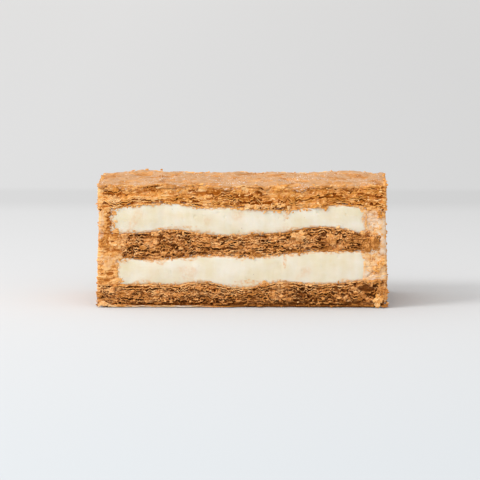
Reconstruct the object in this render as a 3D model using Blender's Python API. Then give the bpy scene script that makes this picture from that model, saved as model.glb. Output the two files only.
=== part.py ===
"""Mille feuille slice: three sheets of puff pastry with two layers of cream between them.

It is cut across a long bar. The cuts are the two long faces, where every layer shows. The ends are
the sides of the bar, and a coat of pastry crumbs is pressed onto them between the outer sheets.

The origin is at the centre of the base. +X runs along the slice, +Y from the front cut to the cut
behind, and +Z up. Lengths are in metres, except heights in the lists, which are in millimetres.
"""

import bmesh
import bpy
from mathutils import Vector, noise

MM = 0.001

LENGTH = 109.8 * MM
DEPTH = 48 * MM
CRUST_HEIGHT = 47.1 * MM  # the upper face of the top sheet, without its blisters
LAYER_GAP = 0.35 * MM  # the clearance that keeps touching solids apart
ON_WALL = 0.999  # unit block corners beyond this lie on its wall

# The upper face of each inner layer along the front cut, at even steps from the left end to the right.
BOTTOM_SHEET_TOP = (8.9, 8.8, 9.1, 8.6, 10.0, 8.1, 8.1, 10.0, 9.3, 9.4, 10.5, 11.4)
LOWER_CREAM_TOP = (17.8, 18.7, 18.0, 18.5, 19.8, 19.3, 19.1, 20.2, 21.2, 21.4, 21.5, 21.5)
MIDDLE_SHEET_TOP = (28.1, 28.3, 29.1, 29.8, 28.4, 27.6, 28.2, 28.7, 30.6, 30.8, 28.6, 28.4)
UPPER_CREAM_TOP = (37.7, 38.4, 39.5, 39.8, 38.1, 38.2, 37.6, 37.2, 38.1, 39.2, 38.6, 38.2)

# Flaky sheets: their cut edges step in and out, leaf by leaf.
SHEET_COLUMNS, SHEET_ROWS, SHEET_LEAVES = 28, 10, 6
RAGGED = 1.1 * MM
RAGGED_PITCH = 7 * MM
RAGGED_SHIFT = 0.25  # share of that by which the leaves lie back on the whole
BLISTER_HEIGHT = 1.1 * MM
BLISTER_PITCH = 11 * MM
EDGE_DROP = 0.3 * MM  # how far the top crust falls away at its rim
BASE_LIFT = 0.5 * MM  # how far the rim of the bottom crust clears the table

# Cream: its cut face swells a little between the sheets.
CREAM_COLUMNS, CREAM_ROWS, CREAM_RINGS = 24, 8, 3
CREAM_INSET = 0.5 * MM
CREAM_PITCH = 21 * MM
CREAM_SWELL = 0.7 * MM
CREAM_WAVE = 0.4  # share of the swell that comes and goes along the cut

# Crumb coats: where their faces lie behind the sheets' ends, at the bottom and at the top.
LEFT_COAT = (8.1 * MM, 4.5 * MM)
RIGHT_COAT = (6.3 * MM, 8.3 * MM)
COAT_OUTSIDE = (-0.5 * MM, 0.6 * MM)
COAT_COLUMNS, COAT_ROWS, COAT_RINGS = 3, 12, 8
CRUMB_RELIEF = 1.3 * MM
CRUMB_PITCH = 4.5 * MM
CRUMB_SHIFT = 0.1  # share of the relief by which the crumbs lie back on the whole

# Name: (red, green, blue), roughness
FINISHES = {
    "golden_crust": ((0.60, 0.28, 0.09), 0.65),
    "brown_sheet": ((0.43, 0.19, 0.06), 0.72),
    "vanilla_cream": ((0.86, 0.75, 0.56), 0.40),
    "pastry_crumb": ((0.66, 0.34, 0.13), 0.75),
}


def smooth_step(share):
    """Eases from 0 to 1 as share does, and stays level outside."""
    share = min(1.0, max(0.0, share))
    return share * share * (3 - 2 * share)


def curve_through(heights, x):
    """The smooth curve through heights that are evenly spaced along the slice, in metres."""
    place = (x / LENGTH + 0.5) * (len(heights) - 1)
    place = min(len(heights) - 1.0001, max(0.0, place))
    index = int(place)
    share = place - index
    before, start, end, after = (
        heights[min(len(heights) - 1, max(0, index + step))] for step in (-1, 0, 1, 2)
    )
    bend = (
        2 * start
        + (end - before) * share
        + (2 * before - 5 * start + 4 * end - after) * share**2
        + (3 * start - before - 3 * end + after) * share**3
    )
    return bend / 2 * MM


def layer_top(heights, x, y):
    """A layer's upper face. Its waves run the other way round at the cut behind."""
    front = curve_through(heights, x)
    behind = curve_through(heights[::-1], x)
    return front + (behind - front) * smooth_step(y / DEPTH + 0.5)


def lump(x, y, z, pitch, seed):
    """Smooth noise between about -1 and 1, with lumps about a pitch apart."""
    return noise.noise(Vector((x / pitch + seed, y / pitch - seed, z / pitch + 2 * seed)))


def rim_share(x, y):
    """0 in the middle of the slice, rising to 1 at its rim."""
    across = abs(x) / (LENGTH / 2)
    along = abs(y) / (DEPTH / 2)
    return max(smooth_step((across - 0.93) / 0.07), smooth_step((along - 0.84) / 0.16))


def table_face(x, y):
    """The bottom crust: flat on the table, and a little clear of it at the rim."""
    return BASE_LIFT * rim_share(x, y)


def crust_face(x, y):
    """The top crust, with its blisters and a rim that falls away."""
    blister = lump(x, y, 0, BLISTER_PITCH, 3.1) + 0.5 * lump(x, y, 0, BLISTER_PITCH / 2, 8.7)
    return CRUST_HEIGHT + BLISTER_HEIGHT * blister - EDGE_DROP * rim_share(x, y)


def on_top_of(heights):
    """A face that rests on the layer with these heights."""
    return lambda x, y: layer_top(heights, x, y) + LAYER_GAP / 2


def up_to(heights):
    """The upper face of the layer with these heights."""
    return lambda x, y: layer_top(heights, x, y) - LAYER_GAP / 2


def coat_face(behind, side, z):
    """A face of a coat: a leaning plane, which lies behind the sheets' ends at the bottom and top."""
    low, high = BOTTOM_SHEET_TOP[0] * MM, UPPER_CREAM_TOP[0] * MM
    return side * (LENGTH / 2 - behind[0] - (behind[1] - behind[0]) * (z - low) / (high - low))


def stacked_grid(columns, rows, rings):
    """A closed block of unit cells. Its corners hold (-1 to 1, -1 to 1, ring number)."""
    block = bmesh.new()
    bmesh.ops.create_grid(block, x_segments=columns, y_segments=rows, size=1)
    cap = [*block.faces, *block.edges]
    for ring in range(rings):
        cap = bmesh.ops.extrude_face_region(block, geom=cap, use_keep_orig=ring == 0)["geom"]
        corners = [item for item in cap if isinstance(item, bmesh.types.BMVert)]
        bmesh.ops.translate(block, verts=corners, vec=(0, 0, 1))
    bmesh.ops.recalc_face_normals(block, faces=block.faces)
    return block


def finish_material(name):
    """The Principled material of one finish."""
    colour, roughness = FINISHES[name]
    material = bpy.data.materials.get(name) or bpy.data.materials.new(name)
    material.use_nodes = True
    shader = material.node_tree.nodes["Principled BSDF"]
    shader.inputs["Base Color"].default_value = (*colour, 1)
    shader.inputs["Roughness"].default_value = roughness
    return material


def new_piece(name, block, finish):
    """Turns a finished block into a named object."""
    mesh = bpy.data.meshes.new(name)
    block.to_mesh(mesh)
    block.free()
    mesh.materials.append(finish_material(finish))
    piece = bpy.data.objects.new(name, mesh)
    bpy.context.scene.collection.objects.link(piece)
    return piece


def fill_between(block, rings, under, over, left, right, swell):
    """Moves a block's corners between the faces under and over, and the end faces left and right.

    swell(x, y, z, level, at_end) is how far a corner on the wall moves out of it, and at_end says
    whether that corner lies on an end rather than on a cut.
    """
    for corner in block.verts:
        across, along, ring = corner.co
        level = ring / rings
        y = along * DEPTH / 2
        x = across * LENGTH / 2
        z = under(x, y) + (over(x, y) - under(x, y)) * level
        x = left(z) + (right(z) - left(z)) * (across + 1) / 2
        z = under(x, y) + (over(x, y) - under(x, y)) * level
        at_end, at_cut = abs(across) > ON_WALL, abs(along) > ON_WALL
        out = swell(x, y, z, level, at_end)
        corner.co = (
            x + (out if across > 0 else -out) * at_end,
            y + (out if along > 0 else -out) * at_cut,
            z,
        )


def pastry_sheet(name, under, over, left, right, loose_ends, finish, seed):
    """A sheet of puff pastry, whose leaves step in and out where it is cut."""

    def leaf_edge(x, y, z, level, at_end):
        if at_end and not loose_ends:
            return 0
        leaf = round(level * SHEET_LEAVES)
        step = noise.noise(Vector((x / RAGGED_PITCH, y / RAGGED_PITCH, leaf * 1.37 + seed)))
        return RAGGED * (step - RAGGED_SHIFT)

    block = stacked_grid(SHEET_COLUMNS, SHEET_ROWS, SHEET_LEAVES)
    fill_between(block, SHEET_LEAVES, under, over, left, right, leaf_edge)
    return new_piece(name, block, finish)


def cream_layer(name, under, over, left, right, seed):
    """A layer of set cream, smooth at the cuts and flat against the crumb coats."""

    def bulge(x, y, z, level, at_end):
        if at_end:
            return 0
        rounded = 4 * level * (1 - level)
        return CREAM_SWELL * (rounded + CREAM_WAVE * lump(x, y, z, CREAM_PITCH, seed)) - CREAM_INSET

    block = stacked_grid(CREAM_COLUMNS, CREAM_ROWS, CREAM_RINGS)
    fill_between(block, CREAM_RINGS, under, over, left, right, bulge)
    return new_piece(name, block, "vanilla_cream")


def crumb_coat(name, coat, side, seed):
    """Crumbs pressed onto one end, from the bottom sheet up to the top one."""

    def crumbs(x, y, z, level, at_end):
        if at_end and abs(x) < LENGTH / 2 - CRUMB_RELIEF:
            return 0
        return CRUMB_RELIEF * (lump(x, y, z, CRUMB_PITCH, seed) - CRUMB_SHIFT)

    def inner(z):
        return coat_face(coat, side, z)

    def outer(z):
        return coat_face(COAT_OUTSIDE, side, z)

    left, right = (outer, inner) if side < 0 else (inner, outer)
    block = stacked_grid(COAT_COLUMNS, COAT_ROWS, COAT_RINGS)
    under, over = on_top_of(BOTTOM_SHEET_TOP), up_to(UPPER_CREAM_TOP)
    fill_between(block, COAT_RINGS, under, over, left, right, crumbs)
    return new_piece(name, block, "pastry_crumb")


def centre_over_base(pieces):
    """Moves every piece so that the whole stands centred on the origin, with its base at height 0."""
    corners = [corner.co for piece in pieces for corner in piece.data.vertices]
    middle = [(min(c[i] for c in corners) + max(c[i] for c in corners)) / 2 for i in (0, 1)]
    shift = Vector((-middle[0], -middle[1], -min(c[2] for c in corners)))
    for piece in pieces:
        piece.location = shift


def build():
    """Clears the scene and builds the slice from its base up."""
    for old in list(bpy.data.objects):
        bpy.data.objects.remove(old, do_unlink=True)

    def whole_left(z):
        return -LENGTH / 2

    def whole_right(z):
        return LENGTH / 2

    def coated_left(z):
        return coat_face(LEFT_COAT, -1, z) + LAYER_GAP

    def coated_right(z):
        return coat_face(RIGHT_COAT, 1, z) - LAYER_GAP

    whole, coated = (whole_left, whole_right), (coated_left, coated_right)
    centre_over_base([
        pastry_sheet(
            "pastry_bottom", table_face, up_to(BOTTOM_SHEET_TOP), *whole, True, "brown_sheet", 2
        ),
        cream_layer(
            "cream_lower", on_top_of(BOTTOM_SHEET_TOP), up_to(LOWER_CREAM_TOP), *coated, 11
        ),
        pastry_sheet(
            "pastry_middle",
            on_top_of(LOWER_CREAM_TOP),
            up_to(MIDDLE_SHEET_TOP),
            *coated,
            False,
            "brown_sheet",
            23,
        ),
        cream_layer(
            "cream_upper", on_top_of(MIDDLE_SHEET_TOP), up_to(UPPER_CREAM_TOP), *coated, 31
        ),
        pastry_sheet(
            "pastry_top", on_top_of(UPPER_CREAM_TOP), crust_face, *whole, True, "golden_crust", 47
        ),
        crumb_coat("crumb_coat_left", LEFT_COAT, -1, 5),
        crumb_coat("crumb_coat_right", RIGHT_COAT, 1, 17),
    ])


build()
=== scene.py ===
"""Dresses the mille feuille slice, sheet by sheet and layer by layer, and sets it in a plain studio.

Every sheet of pastry is a stack of thin leaves over rows of bubbles, cut on all four sides. Between
them lies smooth cream, and the two ends wear a coat of crumbs. Lengths are in metres. X runs along
the slice, the front cut faces -Y, and Z points up.
"""

import itertools
import logging
import math
from collections.abc import Callable
from dataclasses import dataclass
from enum import Enum

import bpy
import numpy as np
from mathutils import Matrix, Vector
from mathutils.bvhtree import BVHTree


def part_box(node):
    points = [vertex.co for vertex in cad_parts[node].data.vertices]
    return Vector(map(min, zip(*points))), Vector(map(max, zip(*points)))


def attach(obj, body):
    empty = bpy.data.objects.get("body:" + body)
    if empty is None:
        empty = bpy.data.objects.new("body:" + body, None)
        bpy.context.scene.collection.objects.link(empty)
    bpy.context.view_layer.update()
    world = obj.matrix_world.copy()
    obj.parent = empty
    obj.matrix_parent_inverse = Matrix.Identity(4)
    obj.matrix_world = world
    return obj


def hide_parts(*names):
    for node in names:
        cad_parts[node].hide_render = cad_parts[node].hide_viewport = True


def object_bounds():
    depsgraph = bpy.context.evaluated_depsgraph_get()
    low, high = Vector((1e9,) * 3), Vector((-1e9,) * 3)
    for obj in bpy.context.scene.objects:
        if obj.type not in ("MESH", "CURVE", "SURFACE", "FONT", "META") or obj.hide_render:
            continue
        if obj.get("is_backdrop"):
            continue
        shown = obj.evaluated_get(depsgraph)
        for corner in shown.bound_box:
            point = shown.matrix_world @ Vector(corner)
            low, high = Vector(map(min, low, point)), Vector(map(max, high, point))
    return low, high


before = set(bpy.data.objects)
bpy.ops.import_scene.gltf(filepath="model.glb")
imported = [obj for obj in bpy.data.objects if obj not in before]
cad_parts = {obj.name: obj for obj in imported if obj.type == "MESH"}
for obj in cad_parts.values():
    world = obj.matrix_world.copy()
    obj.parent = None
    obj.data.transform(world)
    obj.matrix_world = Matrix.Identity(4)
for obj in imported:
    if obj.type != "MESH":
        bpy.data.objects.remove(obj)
CAD_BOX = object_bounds()

MM = 0.001
LOG = logging.getLogger("mille_feuille")
Array = np.ndarray
Pair = tuple[float, float]
Colour = tuple[float, float, float]
Wave = tuple[float, float, float]
Socket = bpy.types.NodeSocket


class Bake(Enum):
    """How far a flake was baked, as the tone that its material reads."""

    PALE = -0.9
    GOLDEN = -0.2
    AMBER = 0.3
    BROWN = 0.9


# Noise and points


def ease(share: Array) -> Array:
    """Eases from 0 to 1 as share does, and stays level outside."""
    share = np.clip(share, 0.0, 1.0)
    return share * share * (3.0 - 2.0 * share)


def rise(values: Array, start: float, reach: float) -> Array:
    """Eases from 0 at a start to 1 a reach farther on, or farther back where the reach is below 0."""
    return ease((values - start) / reach)


def unit(vectors: Array) -> Array:
    """Scales vectors to a length of one."""
    return vectors / np.linalg.norm(vectors, axis=-1, keepdims=True)


def spread(flat: Array, height: Array | float) -> Array:
    """Joins x and y with a height, as points in space."""
    return np.concatenate([flat, np.broadcast_to(height, flat.shape[:-1])[..., None]], axis=-1)


class Lattice:
    """A seeded table that fills space with random cells."""

    TABLE = 256

    def __init__(self, seed: int) -> None:
        """Shuffles the table."""
        self.chance = np.random.default_rng(seed)
        self.order = self.chance.permutation(self.TABLE)

    def rows(self, cells: Array) -> Array:
        """Finds the row of the table that belongs to each cell.

        Args:
            cells: Whole numbers, three to a cell.

        Returns:
            The number of each cell's row.
        """
        found = np.zeros(cells.shape[:-1], int)
        for axis in range(3):
            found = self.order[(found + cells[..., axis]) % self.TABLE]
        return found


class SpaceNoise(Lattice):
    """Smooth noise in space, worked out for whole arrays of points."""

    GAIN = 1.7
    ROUGH_GAIN = 1.5
    OCTAVES = 3

    def __init__(self, seed: int) -> None:
        """Draws the noise's directions."""
        super().__init__(seed)
        self.directions = unit(self.chance.normal(size=(self.TABLE, 3)))

    def at(self, points: Array, pitch: float | Colour) -> Array:
        """Reads the noise.

        Args:
            points: Places, with x, y and z on the last axis.
            pitch: Size of its lumps, for all directions or for each.

        Returns:
            One value for each point, between about -1 and 1.
        """
        scaled = points / np.asarray(pitch)
        cell = np.floor(scaled).astype(int)
        inside = scaled - cell
        eased = ease(inside)
        total = np.zeros(scaled.shape[:-1])
        for corner in itertools.product((0, 1), repeat=3):
            weight = np.prod(np.where(corner, eased, 1.0 - eased), axis=-1)
            total += weight * np.sum((inside - corner) * self.directions[self.rows(cell + corner)], axis=-1)
        return self.GAIN * total

    def rough(self, points: Array, pitch: float) -> Array:
        """Reads coarse noise with ever finer noise on top."""
        octaves = (self.at(points + step, pitch / 2**step) / 2**step for step in range(self.OCTAVES))
        return sum(octaves) / self.ROUGH_GAIN


class PebbleField(Lattice):
    """Round cells in space, like crumbs pressed together."""

    def __init__(self, seed: int) -> None:
        """Draws the middle and the weight of each cell.

        Args:
            seed: Picks them.
        """
        super().__init__(seed)
        self.middles = self.chance.random((self.TABLE, 3))
        self.weights = self.chance.random(self.TABLE)

    def at(self, points: Array, pitch: float) -> tuple[Array, Array, Array]:
        """Finds the cell at each place.

        Args:
            points: Places, with x, y and z on the last axis.
            pitch: Usual size of a cell.

        Returns:
            Distance to the cell's middle, how much farther the next cell's middle is, both in cells,
            and the cell's own random value from 0 to 1.
        """
        scaled = points / pitch
        cell = np.floor(scaled).astype(int)
        nearest = np.full(scaled.shape[:-1], 9.0)
        second, weight = nearest.copy(), np.zeros_like(nearest)
        for shift in itertools.product((-1, 0, 1), repeat=3):
            row = self.rows(cell + shift)
            distance = np.linalg.norm(cell + shift + self.middles[row] - scaled, axis=-1)
            closer = distance < nearest
            second = np.where(closer, nearest, np.minimum(second, distance))
            weight = np.where(closer, self.weights[row], weight)
            nearest = np.where(closer, distance, nearest)
        return nearest, second - nearest, weight


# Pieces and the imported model


def added(name: str, data: bpy.types.ID) -> bpy.types.Object:
    """Adds an object to the scene.

    Args:
        name: Its name.
        data: Its mesh, light or camera.

    Returns:
        The object.
    """
    made = bpy.data.objects.new(name, data)
    bpy.context.scene.collection.objects.link(made)
    return made


@dataclass
class Surface:
    """The corners and faces of one piece.

    Attributes:
        points: Corners, three numbers each.
        quads: Faces of four corners.
        triangles: Faces of three corners.
        values: Named values for each corner, for the materials to read.
        unrolled: A flat place for each corner of each face, quads first, or None.
    """

    points: Array
    quads: Array
    triangles: Array
    values: dict[str, Array]
    unrolled: Array | None = None

    LABELS = ("tone", "recess", "smear")

    def mesh(self, name: str, smooth: bool) -> bpy.types.Mesh:
        """Makes the mesh, with its values as attributes.

        Args:
            name: Name of the mesh.
            smooth: Whether its faces blend into each other.

        Returns:
            The mesh.
        """
        made = bpy.data.meshes.new(name)
        quads, triangles = len(self.quads), len(self.triangles)
        corners = np.repeat([4, 3], [quads, triangles])
        starts = np.cumsum(corners) - corners
        made.vertices.add(len(self.points))
        made.loops.add(4 * quads + 3 * triangles)
        made.polygons.add(quads + triangles)
        made.vertices.foreach_set("co", self.points.astype(np.float32).ravel())
        corners = np.concatenate([self.quads.ravel(), self.triangles.ravel()])
        made.loops.foreach_set("vertex_index", corners.astype(np.int32))
        made.polygons.foreach_set("loop_start", starts.astype(np.int32))
        made.polygons.foreach_set("use_smooth", np.full(len(starts), smooth))
        if self.unrolled is not None:
            layer = made.uv_layers.new(name="OFBake")
            layer.data.foreach_set("uv", self.unrolled.astype(np.float32).ravel())
        for label in self.LABELS:
            values = self.values.get(label, np.zeros(len(self.points)))
            layer = made.attributes.new(label, "FLOAT", "POINT")
            layer.data.foreach_set("value", values.astype(np.float32))
        made.update(calc_edges=True)
        made.validate()
        LOG.info("%s: %d triangles", name, 2 * quads + triangles)
        return made

    def place(
        self, name: str, material: bpy.types.Material, slot: str, node: str = "", smooth: bool = False
    ) -> None:
        """Adds the surface to the scene, on the slice's body.

        Args:
            name: Name of the piece.
            material: Its material.
            slot: Not used.
            node: CAD node that it stands for, if any.
            smooth: Whether its faces blend into each other.
        """
        piece = added(name, self.mesh(name, smooth))
        piece.data.materials.append(material)
        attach(piece, "root")
        if node:
            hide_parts(node)


class NodeShape:
    """Where the faces of one CAD node lie."""

    MARGIN = 1.6 * MM
    STRAY = 3.5 * MM
    STEP = 0.9 * MM
    FAR = 1.0

    def __init__(self, node: str) -> None:
        """Reads the node's mesh.

        Args:
            node: Name of the CAD node.
        """
        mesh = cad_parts[node].data
        corners = [corner.co for corner in mesh.vertices]
        self.tree = BVHTree.FromPolygons(corners, [face.vertices for face in mesh.polygons])
        self.low, self.high = (np.array(corner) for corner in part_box(node))

    def met(self, start: Colour, way: Colour, axis: int) -> float:
        """Where a ray meets the node, along one axis, or not a number if it misses."""
        hit = self.tree.ray_cast(Vector(start), Vector(way))[0]
        return math.nan if hit is None else hit[axis]

    def face(self, upper: bool) -> Callable[[Array, Array], Array]:
        """Measures the node's upper or lower face.

        Args:
            upper: Whether it is the upper face.

        Returns:
            A function from x and y to the face's height, or beyond its rim to the rim's height.
        """
        low, high = self.low[:2] + self.MARGIN, self.high[:2] - self.MARGIN
        counts = np.ceil((high - low) / self.STEP).astype(int) + 1
        step = (high - low) / (counts - 1)
        start, way = (self.FAR, -1.0) if upper else (-self.FAR, 1.0)
        heights = np.zeros(counts[::-1])
        for place in np.ndindex(*heights.shape):
            x, y = low + np.array(place[::-1]) * step
            heights[place] = self.met((x, y, start), (0.0, 0.0, way), 2)
        usual = np.nanmedian(heights)
        heights[~(np.abs(heights - usual) < self.STRAY)] = usual

        def height(x: Array, y: Array) -> Array:
            """Reads the height from the four measured places round each point.

            Args:
                x: Places along the slice.
                y: Places across it.

            Returns:
                The height of each.
            """
            across = np.clip((x - low[0]) / step[0], 0.0, counts[0] - 1.001)
            along = np.clip((y - low[1]) / step[1], 0.0, counts[1] - 1.001)
            column, row = across.astype(int), along.astype(int)
            right, back = across - column, along - row
            near = heights[row, column] * (1 - right) + heights[row, column + 1] * right
            far = heights[row + 1, column] * (1 - right) + heights[row + 1, column + 1] * right
            return near * (1 - back) + far * back

        return height

    def end_face(self, side: int, outer: bool, heights: Array) -> Array:
        """Measures a coat's upright face, as a leaning plane.

        Args:
            side: -1 for the left end and 1 for the right end.
            outer: Whether to measure the face that points away from the slice.
            heights: Heights over the table.

        Returns:
            The face's place along the slice at each height.
        """
        start, way = (side * self.FAR, -side) if outer else (0.0, side)
        levels = self.low[2] + np.array([0.15, 0.85]) * (self.high[2] - self.low[2])
        depths = np.linspace(self.low[1], self.high[1], 11)[1:-1]
        low, high = (
            np.nanmean([self.met((start, y, level), (way, 0.0, 0.0), 0) for y in depths]) for level in levels
        )
        return low + (high - low) * (heights - levels[0]) / (levels[1] - levels[0])


# Layers cut to an outline


def stitched(outer: Array, inner: Array) -> Array:
    """Fills the strip between a ring of corners and one of half as many inside it.

    Args:
        outer: Corner numbers of the outer ring, anticlockwise.
        inner: Corner numbers of the inner ring, anticlockwise.

    Returns:
        Triangles that face up.
    """
    even, odd = outer[0::2], outer[1::2]
    after, inner_after = np.roll(even, -1), np.roll(inner, -1)
    strips = ((even, odd, inner), (odd, after, inner_after), (odd, inner_after, inner))
    return np.concatenate([np.stack(strip, axis=-1) for strip in strips])


def grid_rim(grid: Array) -> Array:
    """Corner numbers round a grid, anticlockwise from its front left corner."""
    return np.concatenate([grid[0, :-1], grid[:-1, -1], grid[-1, :0:-1], grid[:0:-1, 0]])


def grid_faces(grid: Array) -> Array:
    """The quads of a grid of corner numbers, facing up."""
    return np.stack([grid[:-1, :-1], grid[:-1, 1:], grid[1:, 1:], grid[1:, :-1]], axis=-1).reshape(-1, 4)


@dataclass
class CutOutline:
    """The rounded rectangle that a layer is cut to, walked round in even steps.

    Attributes:
        centre: Its middle.
        half: Half its length and half its depth.
        corner: Radius of its corners.
        steps: Steps along a long side and along a short side.
        cap_inset: How far each coarser ring of a cap lies inside the last.
    """

    centre: Array
    half: Array
    corner: float
    steps: tuple[int, int]
    cap_inset: float

    CORNER_EASE = 3.0 * MM
    CORNER_SHARE = 0.35
    FRONT_REACH = 2.5 * MM
    BAND = 0.155
    BAND_EDGE = 0.02
    END_COLUMNS = 1
    CAP_ROOM = np.array([0.46, 0.34])
    CAP_MIDDLES = np.array([[0.25, 0.81], [0.75, 0.81]])

    def __post_init__(self) -> None:
        """Places the stations, each with its outward direction and its distance walked."""
        along, across = self.steps
        rim = grid_rim(np.arange((along + 1) * (across + 1)).reshape(across + 1, along + 1))
        walk = np.stack([rim % (along + 1), rim // (along + 1)], axis=-1) / self.steps
        sharp = (walk * 2.0 - 1.0) * self.half
        core = np.clip(sharp, self.corner - self.half, self.half - self.corner)
        self.core, self.out = core + self.centre, unit(sharp - core)
        strides = np.linalg.norm(np.roll(sharp, -1, axis=0) - sharp, axis=1)
        self.count, self.arc = len(rim), np.cumsum(strides) - strides
        gap = np.max(self.half - np.abs(sharp), axis=1) / self.CORNER_EASE
        self.from_corner = self.CORNER_SHARE + (1 - self.CORNER_SHARE) * ease(gap)
        self.front = ease((self.FRONT_REACH - self.half[1] - sharp[:, 1]) / self.FRONT_REACH)

    def wall_point(self, depth: Array | float) -> Array:
        """Moves the stations in from the outline, by a depth for all or for each."""
        return self.core + self.out * np.asarray(self.corner - depth)[..., None]

    def smaller(self, halvings: int) -> "CutOutline":
        """Sets out a coarser ring inside this one.

        Args:
            halvings: How many times coarser, as a power of two.

        Returns:
            Its outline.
        """
        half, share = self.half - halvings * self.cap_inset, 2**halvings
        steps = (self.steps[0] // share, self.steps[1] // share)
        return CutOutline(self.centre, half, self.corner, steps, self.cap_inset)

    def cap(self, ring: Array, number: int, halvings: int) -> tuple[Array, Array, Array]:
        """Closes a rim with ever coarser rings round a grid.

        Args:
            ring: Corner numbers of the rim.
            number: The next free corner number.
            halvings: How many times the rings halve their number of corners.

        Returns:
            The new corners' x and y, the quads and the triangles, facing up.
        """
        flat, triangles = [], []
        for level in range(1, halvings):
            places = self.smaller(level).wall_point(0.0)
            inner = number + np.arange(len(places))
            triangles.append(stitched(ring, inner))
            flat.append(places)
            ring, number = inner, number + len(places)
        last = self.smaller(halvings)
        shares = np.meshgrid(*(np.linspace(-1, 1, steps + 1) for steps in last.steps))
        grid = number + np.arange(shares[0].size).reshape(shares[0].shape)
        triangles.append(stitched(ring, grid_rim(grid)))
        flat.append((np.stack(shares, axis=-1) * last.half + last.centre).reshape(-1, 2))
        return np.concatenate(flat), grid_faces(grid), np.concatenate(triangles)

    def unroll(self, rows: int, quads: Array, triangles: Array, points: Array) -> Array:
        """Lays the faces of a closed layer out flat, one band for each side and the caps above them.

        Args:
            rows: Rows of corners in its wall.
            quads: Its quads, with those of the wall first.
            triangles: Its triangles.
            points: Its corners.

        Returns:
            A place in the unit square for each corner of each face.
        """
        starts = np.cumsum([0, *self.steps, self.steps[0]])
        wall = (rows - 1) * self.count
        row, station = np.divmod(np.arange(wall), self.count)
        side = np.searchsorted(starts, station, side="right") - 1
        column = (station - starts[side])[:, None] + np.array([0, 1, 1, 0]) + self.END_COLUMNS
        level = (row[:, None] + np.array([0, 0, 1, 1])) / (rows - 1)
        band = (side[:, None] + self.BAND_EDGE + (1 - 2 * self.BAND_EDGE) * level) * self.BAND
        lay = np.stack([column / (max(self.steps) + 1 + 2 * self.END_COLUMNS), band], axis=-1)
        upper = (points[:, 2] > points[: rows * self.count, 2].mean()).astype(int)
        flat = (points[:, :2] - self.centre) * (self.CAP_ROOM / (2 * self.half)).min()
        flat += self.CAP_MIDDLES[upper]
        return np.concatenate([part.reshape(-1, 2) for part in (lay, flat[quads[wall:]], flat[triangles])])


@dataclass(frozen=True)
class Crevice:
    """A long gap between two leaves on the front cut. All in millimetres.

    Attributes:
        start: Where it begins along the slice.
        end: Where it ends.
        height: Its height over the table.
        opening: How far the leaves stand apart.
    """

    start: float
    end: float
    height: float
    opening: float = 0.5


@dataclass(frozen=True)
class Spot:
    """A ragged oval on the front cut that differs from the rest. All in millimetres.

    Attributes:
        place: Its middle, along the slice and over the table.
        size: Its width and its height.
        turn: How far its long direction is turned up to the right, in degrees.
        depth: How deep a hollow it is.
        tone: How much darker it is coloured.
        calm: Share of the bubbles' depth that it fills.
        smear: How much is smeared over it.
    """

    place: Pair
    size: Pair
    turn: float = 0.0
    depth: float = 0.0
    tone: float = 0.0
    calm: float = 0.0
    smear: float = 0.0

    REACH = 1.1
    RIM = 0.4

    def share(self, x: Array, z: Array | float, rough: Array) -> Array:
        """How far each place lies inside the spot.

        Args:
            x: Places along the slice.
            z: Their heights.
            rough: Noise that breaks up its rim.

        Returns:
            From 0 outside to 1 in the middle.
        """
        right, up = x / MM - self.place[0], z / MM - self.place[1]
        turn = math.radians(self.turn)
        along = (right * math.cos(turn) + up * math.sin(turn)) / (self.size[0] / 2)
        above = (up * math.cos(turn) - right * math.sin(turn)) / (self.size[1] / 2)
        return rise(self.RIM * rough - np.hypot(along, above), -self.REACH, self.RIM)


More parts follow.
